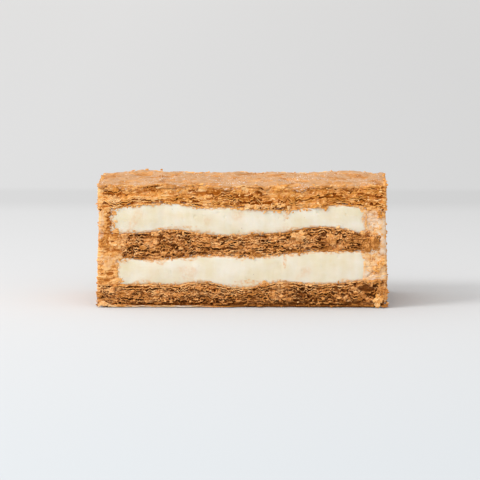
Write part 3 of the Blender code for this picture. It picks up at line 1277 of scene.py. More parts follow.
@dataclass
class BaseLeaf(Layer):
    """The thin leaf that the slice stands on, folded up at its left end, paler there and darker to the
    right.
    """

    STEPS = (480, 208)
    CAP_INSET = 3.0 * MM
    INSET = 0.55 * MM
    CORNER = 2.4 * MM
    THICKNESS = 0.42 * MM
    LEVELS = np.array([[0.0], [0.3], [0.7], [1.0]])
    FOLD = 1.2 * MM
    CURL = 1.5 * MM
    CURL_REACH = 9.0 * MM
    DRAWN_BACK = 2.4 * MM
    BULGE = 0.1 * MM
    LIFT, LEAST_LIFT = 0.34, 0.05
    BACK, BACK_REACH, BACK_WAVE = 0.8, 15 * MM, 0.6
    BROWN_FROM, BROWN_REACH, BROWNER = -22 * MM, 20 * MM, 2.0
    TONE, TONE_WAVE, TONE_SIZE = -0.7, 0.5, 4 * MM
    SMEAR, SMEAR_WAVE, SMEAR_SIZE = 0.75, 0.5, 5 * MM
    DARKEST = 0.6
    LIFT_WAVES = ((0.25, 9.0, 0.0), (0.15, 3.0, 0.0))
    FRAY_WAVES = ((0.4, 6.0, 0.0), (0.28, 1.4, 0.0))

    def lower(self, x: Array, y: Array) -> Array:
        """Height of its lower face."""
        return 0.0 * x

    def upper(self, x: Array, y: Array) -> Array:
        """Height of its upper face."""
        return 0.0 * x + self.THICKNESS

    def build(self) -> Surface:
        """Models the leaf.

        Returns:
            Its closed surface.
        """
        noise, flat = self.noise, spread(self.edge, 0.0)
        x = flat[:, 0]
        curled = rise(x, self.left_end + self.CURL_REACH, -self.CURL_REACH) ** 2
        lift = (self.LIFT + self.waves(flat, self.LIFT_WAVES)) * MM
        lift = np.maximum(lift, self.LEAST_LIFT * MM) + self.CURL * curled
        heights = lift + self.LEVELS * (self.THICKNESS + self.FOLD * curled)
        fray = self.waves(flat, self.FRAY_WAVES) * MM
        back = self.BACK + x / self.BACK_REACH + self.BACK_WAVE * noise.at(flat + 3, self.BACK_REACH)
        fray += self.DRAWN_BACK * ease(back)
        depth = np.clip(fray + self.BULGE * (2 * self.LEVELS - 1) ** 2, -self.INSET, self.CORNER)
        # Darker towards the right: partly darker baking and partly painted contact shade under the slice.
        brown = rise(x, self.BROWN_FROM, self.BROWN_REACH)
        tone = self.TONE + self.TONE_WAVE * noise.at(flat, self.TONE_SIZE) + self.BROWNER * brown
        # The pale cover on the left is partly the leaf's own pale colour and partly painted light reflected
        # from the floor.
        smear = self.SMEAR + self.SMEAR_WAVE * noise.at(flat + 5, self.SMEAR_SIZE)
        smear *= 1.0 - brown
        # Painted shade: the recess value darkens the leaf where it is drawn back under the sheet.
        recess = np.clip(depth / MM, 0.0, self.DARKEST)
        return self.closed(depth, heights, {"tone": tone, "smear": smear, "recess": recess})


# Loose flakes, crumbs and sugar


@dataclass(frozen=True)
class PlacedFlake:
    """A flake that lies against the front cut at a given place. Lengths are in millimetres.

    Attributes:
        place: Its middle, along the slice and over the table.
        size: Its length and its width.
        turn: How far its long direction is turned up to the right, in degrees.
        bake: How far it was baked.
        proud: How far it stands out of the cut.
        tip: How far its upper side leans out, in degrees.
    """

    place: Pair
    size: Pair
    turn: float = 0.0
    bake: Bake = Bake.GOLDEN
    proud: float = 0.1
    tip: float = 0.0


@dataclass
class LooseFlakes:
    """Thin broken leaves, gathered one kind after another and then modelled all at once.

    Attributes:
        name: Name of the piece.
        slot: A material slot name, passed on to the surface.
        seed: Picks their random draws.
        spokes: Corners round each.
    """

    name: str
    slot: str
    seed: int
    spokes: int = 7

    THICKNESS = (0.2 * MM, 0.42 * MM)
    LIPS = ((1.0 * MM, 4.5 * MM), (1.0 * MM, 2.2 * MM))
    LIP_TILT, LIP_SWERVE, LIP_OUT = (0.16, 0.22), 0.1, (-0.1 * MM, 0.5 * MM)
    LIP_BEND, LIP_MOTTLE = 0.08, 0.35
    BITS = ((0.7 * MM, 2.6 * MM), (0.5 * MM, 1.2 * MM))
    BIT_LEAN, BIT_TURN, BIT_SUNK = 0.65, 0.6, (-0.1, 0.6)
    CRUMBS = ((0.7 * MM, 3.0 * MM), (0.6 * MM, 1.5 * MM))
    CRUMB_LEAN, CRUMB_BEND, CRUMB_SUNK, CRUMB_HEADING = 0.45, 0.12, (0.0, 0.35), (1.0, 1.0, 0.35)
    MOST_UPWARD, MOST_INWARD = 0.8, 0.5
    SPLIT = ((0.2, 0.5), (0.25, 0.6))
    SPLIT_LEAST, SPLIT_THICKNESS = (0.5 * MM, 0.3 * MM), (0.2 * MM, 0.4 * MM)
    SPLIT_SHIFT, SPLIT_OUT, SPLIT_TURN, SPLIT_LEAN = (-0.38, 0.38), (-0.3, 0.1), 0.4, 0.5
    SMALLNESS = 2.2
    LOWEST = 0.6 * MM
    ALL_OVER = (-0.05, 1.05)
    LEAST_BITS, BITS_PER_AREA = 5, 1.9
    INNER, RIM_THIN, UNEVEN = 0.55, 0.7, 0.022
    SPOKE_SHIFT, SPOKE_LENGTH = (-0.3, 0.3), (0.6, 1.0)
    CORNER_MOTTLE = 0.12

    def __post_init__(self) -> None:
        """Starts the random draws."""
        self.chance = np.random.default_rng(self.seed)
        self.parts: list[tuple[Array, ...]] = []

    def add(
        self, centres: Array, facing: Array, heading: Array, sizes: Array,
        tones: Array | float, bend: float = 0.1, mottle: float = 0.4,
    ) -> None:
        """Adds flakes.

        Args:
            centres: Their middles.
            facing: The direction that the flat of each faces.
            heading: The long direction of each.
            sizes: Length, width and thickness of each.
            tones: How dark they are baked.
            bend: How far they are bent, as a share of their length.
            mottle: How much their tones differ.
        """
        count = len(centres)
        curl = self.chance.normal(0.0, bend, (count, 2))
        tones = tones + self.chance.normal(0.0, mottle, count)
        self.parts.append((centres, facing, heading, sizes, curl, tones))

    def sizes(self, length: Pair, width: Pair, count: int) -> Array:
        """Draws sizes, most of them small.

        Args:
            length: Least and greatest length.
            width: Least and greatest width.
            count: How many to draw.

        Returns:
            Length, width and thickness of each.
        """
        lengths = length[0] + (length[1] - length[0]) * self.chance.random(count) ** self.SMALLNESS
        others = [self.chance.uniform(*span, count) for span in (width, self.THICKNESS)]
        return np.stack([lengths, *others], axis=-1)

    def places(self, sheet: FlakySheet, count: int, band: Pair) -> tuple[Array, Array, Array, Array]:
        """Draws places on a sheet's cuts.

        Args:
            sheet: The sheet.
            count: How many to draw.
            band: From which share of the sheet's height to which they lie.

        Returns:
            The places, the outward direction and the direction along the cut at each, and how much
            darker a flake is made there, partly by baking and partly as painted contact shade.
        """
        station = self.chance.integers(0, sheet.outline.count, count)
        low, high = (bound[station] for bound in sheet.bounds())
        height = np.maximum(low + self.chance.uniform(*band, count) * (high - low), self.LOWEST)
        out = spread(sheet.outline.out[station], 0.0)
        along = out[:, [1, 0, 2]] * (-1.0, 1.0, 1.0)
        # Flakes low on a sheet take the same darkening: partly darker baking and partly painted contact
        # shade.
        dark = sheet.scorched * ease(1.8 - (height - low) / sheet.SCORCH_HEIGHT)
        return spread(sheet.outline.wall_point(0.0)[station], height), out, along, dark

    def leaf_lips(self, sheet: FlakySheet, count: int, tone: float) -> None:
        """Adds leaf edges that stick out of a sheet's cuts.

        Args:
            sheet: The sheet.
            count: How many to add.
            tone: How dark they are baked.
        """
        chance = self.chance
        places, out, along, dark = self.places(sheet, count, self.ALL_OVER)
        sizes = self.sizes(*self.LIPS, count)
        places -= out * (sizes[:, 1] / 2 - chance.uniform(*self.LIP_OUT, count))[:, None]
        tilt = chance.normal(0.0, self.LIP_TILT, (count, 2))
        facing = np.array([0.0, 0.0, 1.0]) + tilt[:, :1] * along + tilt[:, 1:] * out
        heading = along + chance.normal(0.0, self.LIP_SWERVE, (count, 1)) * out
        self.add(places, facing, heading, sizes, tone + dark, self.LIP_BEND, self.LIP_MOTTLE)

    def fallen(self, sheet: FlakySheet, count: int, tone: float, band: Pair = ALL_OVER) -> None:
        """Adds broken bits that lie against a sheet's cuts at any angle.

        Args:
            sheet: The sheet.
            count: How many to add.
            tone: How dark they are baked.
            band: From which share of the sheet's height to which they lie.
        """
        places, out, along, dark = self.places(sheet, count, band)
        sizes = self.sizes(*self.BITS, count)
        places -= out * self.chance.uniform(*self.BIT_SUNK, (count, 1)) * MM
        facing = out + self.chance.normal(0.0, self.BIT_LEAN, (count, 3))
        turn = self.chance.normal(0.0, self.BIT_TURN, (count, 1))
        heading = along * np.cos(turn) + np.array([0.0, 0.0, 1.0]) * np.sin(turn)
        self.add(places, facing, heading, sizes, tone + dark)

    def on_coat(self, coat: Surface, end: int, count: int, tone: float) -> None:
        """Adds crumbs of leaf to a coat, on its end and on the two cuts.

        Args:
            coat: The coat's surface.
            end: -1 at the left end and 1 at the right end.
            count: How many to add.
            tone: How dark they are baked.
        """
        corners = coat.points[coat.quads]
        out = np.cross(corners[:, 2] - corners[:, 0], corners[:, 3] - corners[:, 1])
        shown = np.linalg.norm(out, axis=1)
        shown *= np.abs(out[:, 2]) < self.MOST_UPWARD * np.abs(out).max(axis=1)
        shown *= out[:, 0] * end > -self.MOST_INWARD * np.abs(out[:, 1])
        shown *= 1.0 - coat.values["recess"][coat.quads[:, 0]]
        chosen = self.chance.choice(len(out), count, p=shown / shown.sum())
        out = unit(out[chosen])
        places = corners[chosen].mean(axis=1) - out * self.chance.uniform(*self.CRUMB_SUNK, (count, 1)) * MM
        sizes = self.sizes(*self.CRUMBS, count)
        facing = out + self.chance.normal(0.0, self.CRUMB_LEAN, (count, 3))
        heading = self.chance.normal(0.0, 1.0, (count, 3)) * self.CRUMB_HEADING
        self.add(places, facing, heading, sizes, tone, self.CRUMB_BEND)

    def put(self, flakes: tuple[PlacedFlake, ...], front: float) -> None:
        """Adds flakes at given places on the front cut, each out of several bits.

        Args:
            flakes: The flakes.
            front: Where the front cut lies across the slice.
        """
        chance = self.chance
        counts = [max(self.LEAST_BITS, int(self.BITS_PER_AREA * math.prod(flake.size))) for flake in flakes]
        bits = [flake for flake, number in zip(flakes, counts) for _ in range(number)]
        count, none = len(bits), np.zeros(len(bits))
        size, place = (np.array([getattr(bit, name) for bit in bits]) * MM for name in ("size", "place"))
        turn, tip = (np.radians([getattr(bit, name) for bit in bits]) for name in ("turn", "tip"))
        shift, side = chance.uniform(*self.SPLIT_SHIFT, (2, count)) * size.T
        x = place[:, 0] + shift * np.cos(turn) - side * np.sin(turn)
        z = place[:, 1] + shift * np.sin(turn) + side * np.cos(turn)
        proud = np.array([bit.proud for bit in bits]) * MM + chance.uniform(*self.SPLIT_OUT, count) * MM
        turn += chance.normal(0.0, self.SPLIT_TURN, count)
        heading = np.stack([np.cos(turn), none, np.sin(turn)], axis=-1)
        facing = np.stack([none, -np.cos(tip), np.sin(tip)], axis=-1)
        facing += chance.normal(0.0, self.SPLIT_LEAN, (count, 3))
        length, width = (
            chance.uniform(*share, count) * whole + least
            for share, whole, least in zip(self.SPLIT, size.T, self.SPLIT_LEAST)
        )
        sizes = np.stack([length, width, chance.uniform(*self.SPLIT_THICKNESS, count)], axis=-1)
        tones = np.array([bit.bake.value for bit in bits])
        self.add(np.stack([x, front - proud, z], axis=-1), facing, heading, sizes, tones)

    def faces(self) -> tuple[Array, Array]:
        """Lists the faces of one flake.

        Returns:
            Its quads and its triangles.
        """
        count = self.spokes
        side, rim = 2 * count + 1, np.arange(count)
        after, inner, centre = np.roll(rim, -1), rim + count, np.full(count, 2 * count)
        fan = np.stack([centre, inner, after + count], axis=-1)
        ring = np.stack([inner, rim, after, after + count], axis=-1)
        edge = np.stack([rim + side, after + side, after, rim], axis=-1)
        return np.concatenate([ring, ring[:, ::-1] + side, edge]), np.concatenate([fan, fan[:, ::-1] + side])

    def build(self) -> Surface:
        """Models all the flakes added so far, each inside the slice's box.

        Returns:
            One surface that holds them all.
        """
        centres, facing, heading, sizes, curl, tones = map(np.concatenate, zip(*self.parts))
        chance, count, spokes = np.random.default_rng(self.seed), len(centres), self.spokes
        angle = (np.arange(spokes) + chance.uniform(*self.SPOKE_SHIFT, (count, spokes))) * math.tau / spokes
        reach = chance.uniform(*self.SPOKE_LENGTH, (count, spokes))
        rim = np.stack([reach * np.cos(angle), reach * np.sin(angle)])
        right, ahead = np.concatenate([rim, self.INNER * rim, np.zeros((2, count, 1))], axis=2)
        bend = curl[:, :1] * right**2 + curl[:, 1:] * right * ahead
        bend += chance.normal(0.0, self.UNEVEN, bend.shape)
        facing = unit(facing)
        long = unit(heading - np.sum(heading * facing, axis=1, keepdims=True) * facing)
        wide = np.cross(facing, long)
        length, width, thickness = (sizes[:, [axis]] / 2 for axis in range(3))
        flat = centres[:, None, :] + (right * length)[..., None] * long[:, None, :]
        flat += (ahead * width)[..., None] * wide[:, None, :]
        flat += (2 * bend * length)[..., None] * facing[:, None, :]
        thin = np.repeat([self.RIM_THIN, 1.0], [spokes, spokes + 1])
        offset = (thin * thickness)[..., None] * facing[:, None, :]
        points = np.concatenate([flat + offset, flat - offset], axis=1)
        low, high = np.array(CAD_BOX)
        over = np.maximum(points.max(axis=1) - high, 0.0)
        points += (np.maximum(low - points.min(axis=1), 0.0) - over)[:, None, :]
        tones = tones[:, None] + chance.normal(0.0, self.CORNER_MOTTLE, points.shape[:2])
        starts = np.arange(count)[:, None, None] * points.shape[1]
        quads, triangles = ((faces + starts).reshape(-1, faces.shape[1]) for faces in self.faces())
        return Surface(points.reshape(-1, 3), quads, triangles, {"tone": tones.ravel()})

    def place(self, material: bpy.types.Material) -> None:
        """Builds the flakes and adds them to the scene."""
        self.build().place(self.name, material, self.slot)


# Materials


class NodeBench:
    """Adds and links the nodes of one tree."""

    def __init__(self, tree: bpy.types.NodeTree) -> None:
        """Takes up the node tree of a material, a world or a node group."""
        self.tree = tree

    def feed(self, socket: Socket, value: object) -> None:
        """Links a socket to another, or sets its own value.

        Args:
            socket: The input socket.
            value: An output socket, a number or a colour.
        """
        if isinstance(value, Socket):
            self.tree.links.new(value, socket)
        elif isinstance(value, tuple) and socket.type == "RGBA":
            socket.default_value = (*value[:3], 1.0)
        else:
            socket.default_value = value

    def add(self, kind: str, options: dict[str, object] | None = None, **inputs: object) -> bpy.types.Node:
        """Adds a node.

        Args:
            kind: Its type, without the ShaderNode in front.
            options: Its own settings.
            inputs: Values for its inputs, with _ for a space in their names.

        Returns:
            The node.
        """
        node = self.tree.nodes.new("ShaderNode" + kind)
        for name, value in (options or {}).items():
            setattr(node, name, value)
        for name, value in inputs.items():
            self.feed(node.inputs[name.replace("_", " ")], value)
        return node

    def maths(self, operation: str, first: object, second: object) -> Socket:
        """Works out one number from two.

        Args:
            operation: Name of the Math node's operation.
            first: The first number or socket.
            second: The second number or socket.

        Returns:
            The result's socket.
        """
        node = self.add("Math", {"operation": operation})
        self.feed(node.inputs[0], first)
        self.feed(node.inputs[1], second)
        return node.outputs[0]

    def total(self, first: object, *others: tuple[object, float]) -> Socket:
        """Adds several values to the first.

        Args:
            first: The first number or socket.
            others: The others, each with its own strength.

        Returns:
            The sum's socket.
        """
        for value, strength in others:
            first = self.maths("ADD", first, self.maths("MULTIPLY", value, strength))
        return first

    def between(self, value: object, low: float, high: float, top: float = 1.0) -> Socket:
        """Stretches a value to 0 at low and to top at high, held at both."""
        return self.add("MapRange", Value=value, From_Min=low, From_Max=high, To_Max=top).outputs[0]

    def mixed(self, share: object, first: object, second: object) -> Socket:
        """Mixes two colours.

        Args:
            share: How much of the second.
            first: The first colour or socket.
            second: The second colour or socket.

        Returns:
            The mixed colour's socket.
        """
        node = self.add("Mix", {"data_type": "RGBA", "clamp_factor": True})
        for index, value in ((0, share), (6, first), (7, second)):
            self.feed(node.inputs[index], value)
        return node.outputs[2]

    def place(self, stretch: Colour = (1.0, 1.0, 1.0)) -> Socket:
        """Places on the slice in metres, stretched by a factor along each axis."""
        place = self.add("TexCoord").outputs["Object"]
        return self.add("Mapping", Vector=place, Scale=stretch).outputs[0]

    def noise(
        self, scale: object, detail: float = 2.0, stretch: Colour = (1.0, 1.0, 1.0)
    ) -> Socket:
        """Noise round 0.5, with so many lumps to a metre."""
        return self.add("TexNoise", Vector=self.place(stretch), Scale=scale, Detail=detail).outputs["Fac"]

    def speckle(self, *noise: object) -> Socket:
        """The same noise round 0."""
        return self.maths("SUBTRACT", self.noise(*noise), 0.5)

    def group(self, tree: bpy.types.NodeTree, **inputs: object) -> bpy.types.NodeOutputs:
        """Places a node group and gives its outputs."""
        return self.add("Group", {"node_tree": tree}, **inputs).outputs


class SharedEffects:
    """The node groups that several finishes use."""

    SPECKS, PATCHES, LAYERS = (800.0,), (230.0, 3.0), (160.0, 2.0, (1.0, 1.0, 9.0))
    PATCH_STRENGTH, LAYER_STRENGTH = 1.3, 1.2
    BAKED_PALE, BAKED_BROWN = (-0.5, 0.0), (0.0, 0.5)
    RECESS_POWER, RECESS_STRENGTH = 1.2, 0.8
    FINE_SUGAR, FINE_RANGE = (2600.0, 1.0), (0.62, 0.72)
    COARSE_SUGAR, COARSE_RANGE = (1100.0, 1.0), (0.62, 0.7, 0.6)
    SUGAR_PATCHES, PATCH_RANGE = (190.0,), (0.42, 0.62)

    def __init__(self) -> None:
        """Builds the groups."""
        self.toast, self.grain, self.sugar = self.toast_group(), self.grain_group(), self.sugar_group()

    def started(
        self, name: str, inputs: dict[str, str], outputs: dict[str, str]
    ) -> tuple[NodeBench, bpy.types.NodeOutputs, bpy.types.NodeInputs]:
        """Starts a node group.

        Args:
            name: Its name.
            inputs: The kind of each input socket, by name.
            outputs: The kind of each output socket, by name.

        Returns:
            A bench for its tree, the values given to it and the sockets of its results.
        """
        tree = bpy.data.node_groups.new(name, "ShaderNodeTree")
        for sockets, way in ((inputs, "INPUT"), (outputs, "OUTPUT")):
            for label, kind in sockets.items():
                tree.interface.new_socket(label, in_out=way, socket_type="NodeSocket" + kind)
        given, result = (tree.nodes.new("NodeGroup" + way) for way in ("Input", "Output"))
        return NodeBench(tree), given.outputs, result.inputs

    def toast_group(self) -> bpy.types.NodeTree:
        """Colours pastry from pale to dark by how far it is baked, and paints shade inside hollows.

        Returns:
            The group.
        """
        colours = dict.fromkeys(("Pale", "Golden", "Brown", "Deep"), "Color")
        numbers = dict.fromkeys(("Tone", "Recess", "Variety"), "Float")
        bench, given, result = self.started("toasted_pastry", colours | numbers, {"Color": "Color"})
        layers = (bench.speckle(*self.LAYERS), self.LAYER_STRENGTH)
        patches = (bench.speckle(*self.PATCHES), self.PATCH_STRENGTH)
        varied = bench.total(bench.speckle(*self.SPECKS), patches, layers)
        varied = bench.maths("MULTIPLY", varied, given["Variety"])
        baked = bench.total(varied, (given["Tone"], 0.5))
        pale = bench.mixed(bench.between(baked, *self.BAKED_PALE), given["Pale"], given["Golden"])
        toasted = bench.mixed(bench.between(baked, *self.BAKED_BROWN), pale, given["Brown"])
        # Painted shade: the recess mask darkens the colour towards the deep colour inside hollows.
        depth = bench.maths("POWER", given["Recess"], self.RECESS_POWER)
        depth = bench.between(depth, 0.0, 1.0, self.RECESS_STRENGTH)
        bench.feed(result["Color"], bench.mixed(depth, toasted, given["Deep"]))
        return bench.tree

    def grain_group(self) -> bpy.types.NodeTree:
        """Gives fine crumb grain, as a height and as a change of roughness.

        Returns:
            The group.
        """
        inputs, outputs = (dict.fromkeys(("Roughness", name), "Float") for name in ("Scale", "Height"))
        bench, given, result = self.started("crumb_grain", inputs, outputs)
        noise = bench.add("TexNoise", Vector=bench.place(), Scale=given["Scale"], Detail=4.0, Roughness=0.6)
        fine = noise.outputs["Fac"]
        bench.feed(result["Height"], fine)
        shift = bench.maths("SUBTRACT", fine, 0.5)
        bench.feed(result["Roughness"], bench.total(given["Roughness"], (shift, 0.5)))
        return bench.tree

    def sugar_group(self) -> bpy.types.NodeTree:
        """Masks fine white specks, gathered in patches.

        Returns:
            The group.
        """
        bench, given, result = self.started("sugar_specks", {"Amount": "Float"}, {"Mask": "Float"})
        fine = bench.between(bench.noise(*self.FINE_SUGAR), *self.FINE_RANGE)
        coarse = bench.between(bench.noise(*self.COARSE_SUGAR), *self.COARSE_RANGE)
        patches = bench.between(bench.noise(*self.SUGAR_PATCHES), *self.PATCH_RANGE)
        patches = bench.maths("MULTIPLY", patches, given["Amount"])
        bench.feed(result["Mask"], bench.maths("MULTIPLY", bench.maths("MAXIMUM", fine, coarse), patches))
        return bench.tree


class Finish:
    """Starts a material and reads what the meshes say about each of their points."""

    def __init__(self, name: str) -> None:
        """Starts the material.

        Args:
            name: Its name.
        """
        self.material = bpy.data.materials.new(name)
        self.material.use_nodes = True
        self.bench = NodeBench(self.material.node_tree)
        self.shader = self.material.node_tree.nodes["Principled BSDF"].inputs

    def read(self, label: str) -> Socket:
        """A value that the mesh holds for each point."""
        return self.bench.add("Attribute", {"attribute_name": label}).outputs["Fac"]

    def cover(self, colour: Socket, roughness: object, specular: float) -> None:
        """Covers the material evenly.

        Args:
            colour: Its colour.
            roughness: How rough it is.
            specular: How strongly it reflects.
        """
        self.bench.feed(self.shader["Base Color"], colour)
        self.bench.feed(self.shader["Roughness"], roughness)
        self.shader["Specular IOR Level"].default_value = specular

    def bump(self, height: Socket, strength: float, distance: float) -> None:
        """Raises fine relief."""
        bump = self.bench.add("Bump", Strength=strength, Distance=distance, Height=height)
        self.bench.feed(self.shader["Normal"], bump.outputs[0])


@dataclass(frozen=True)
class PastryFinish:
    """Baked pastry.

    Attributes:
        name: Name of the material.
        pale: Its palest leaves.
        golden: Its usual colour.
        brown: Its darkest leaves.
        deep: The inside of its hollows.
        smear: What is spread over it where it is smeared.
        smear_light: The same where it lies thick.
        roughness: How rough it is.
        variety: How much its tone changes.
        sugar: How many specks of sugar it has.
    """

    name: str
    pale: Colour
    golden: Colour
    # deep: The inside of its hollows, partly darker baking and partly painted shade.
    brown: Colour
    deep: Colour
    smear: Colour = (0.65, 0.44, 0.28)
    smear_light: Colour = (0.77, 0.65, 0.52)
    roughness: float = 0.8
    variety: float = 0.8
    sugar: float = 0.0

    SUGAR = (0.93, 0.88, 0.82)
    GRAIN_SCALE = 2400.0
    GRAIN = (0.6, 0.06 * MM)
    THICK, THICK_RANGE = (420.0, 3.0), (0.38, 0.62)
    CRUMBS, CRUMB_STRENGTH = (900.0,), 1.6
    COVER_RANGE = (0.25, 0.95, 0.9)
    SPECULAR = 0.15

    def material(self, effects: SharedEffects) -> bpy.types.Material:
        """Makes the material.

        Args:
            effects: The shared node groups.

        Returns:
            The material.
        """
        finish = Finish(self.name)
        bench, spread_over = finish.bench, finish.read("smear")
        toast = bench.group(
            effects.toast, Pale=self.pale, Golden=self.golden, Brown=self.brown, Deep=self.deep,
            Tone=finish.read("tone"), Recess=finish.read("recess"), Variety=self.variety,
        )["Color"]
        grain = bench.group(effects.grain, Scale=self.GRAIN_SCALE, Roughness=self.roughness)
        sugar = bench.group(effects.sugar, Amount=self.sugar)["Mask"]
        thick = bench.between(bench.noise(*self.THICK), *self.THICK_RANGE)
        smear = bench.mixed(thick, self.smear, self.smear_light)
        cover = bench.total(spread_over, (bench.speckle(*self.CRUMBS), self.CRUMB_STRENGTH))
        cover = bench.maths("MULTIPLY", bench.between(cover, *self.COVER_RANGE), spread_over)
        colour = bench.mixed(sugar, bench.mixed(cover, toast, smear), self.SUGAR)
        finish.cover(colour, grain["Roughness"], self.SPECULAR)
        finish.bump(bench.maths("ADD", grain["Height"], sugar), *self.GRAIN)
        return finish.material


@dataclass(frozen=True)
class CreamFinish:
    """Set vanilla cream.

    Attributes:
        name: Name of the material.
        light: Its lightest streaks.
        dark: Its darkest streaks.
        blush: Its tint where fine crumbs are smeared over it.
        smear: Pastry that is smeared into it.
        speck: Its vanilla seeds.
        roughness: How rough it is.
    """

    name: str
    light: Colour
    dark: Colour
    blush: Colour
    smear: Colour
    speck: Colour
    roughness: float = 0.46

    DEPTH = (4.0 * MM, 3.0 * MM, 2.0 * MM)
    DEPTH_SHARE = 0.35
    SPECULAR = 0.4
    GRAIN_SCALE = 1300.0
    GRAIN = (0.35, 0.05 * MM)
    CLOUDS, CLOUD_RANGE = (95.0, 3.0, (1.0, 1.0, 1.6)), (0.32, 0.7)
    STREAKS, STREAK_STRENGTH = (420.0, 2.0, (1.0, 1.0, 0.12)), 0.25
    TONE_STRENGTH = 0.1
    BLUSH_RANGE = (0.0, 0.8, 0.5)
    CRUMBS, CRUMB_RANGE = (900.0, 3.0), (0.4, 0.62)
    SMEAR_RANGE, SMEAR_HEIGHT = (0.3, 0.8), 1.5
    SEED_SCALE = 420.0
    SEED_SIZE = 0.075
    SEED_SHARE = 0.82
    SEED_STRENGTH = 0.6

    def material(self, effects: SharedEffects) -> bpy.types.Material:
        """Makes the material.

        Args:
            effects: The shared node groups.

        Returns:
            The material.
        """
        finish = Finish(self.name)
        bench, smeared = finish.bench, finish.read("smear")
        streaks = (bench.speckle(*self.STREAKS), self.STREAK_STRENGTH)
        tone = bench.total(bench.noise(*self.CLOUDS), (finish.read("tone"), self.TONE_STRENGTH), streaks)
        cream = bench.mixed(bench.between(tone, *self.CLOUD_RANGE), self.light, self.dark)
        cream = bench.mixed(bench.between(smeared, *self.BLUSH_RANGE), cream, self.blush)
        crumbs = bench.between(bench.noise(*self.CRUMBS), *self.CRUMB_RANGE)
        smear = bench.maths("MULTIPLY", bench.between(smeared, *self.SMEAR_RANGE), crumbs)
        seeds = bench.add("TexVoronoi", Vector=bench.place(), Scale=self.SEED_SCALE)
        near = bench.maths("LESS_THAN", seeds.outputs["Distance"], self.SEED_SIZE)
        chosen = bench.add("SeparateColor", Color=seeds.outputs["Color"]).outputs[0]
        seed = bench.maths("MULTIPLY", near, bench.maths("GREATER_THAN", chosen, self.SEED_SHARE))
        cream = bench.mixed(smear, cream, self.smear)
        colour = bench.mixed(bench.maths("MULTIPLY", seed, self.SEED_STRENGTH), cream, self.speck)
        grain = bench.group(effects.grain, Scale=self.GRAIN_SCALE, Roughness=self.roughness)
        finish.cover(colour, grain["Roughness"], self.SPECULAR)
        finish.bump(bench.total(grain["Height"], (smear, self.SMEAR_HEIGHT)), *self.GRAIN)
        finish.shader["Subsurface Weight"].default_value = self.DEPTH_SHARE
        finish.shader["Subsurface Radius"].default_value = self.DEPTH
        finish.shader["Subsurface Scale"].default_value = 1.0
        return finish.material


# Studio


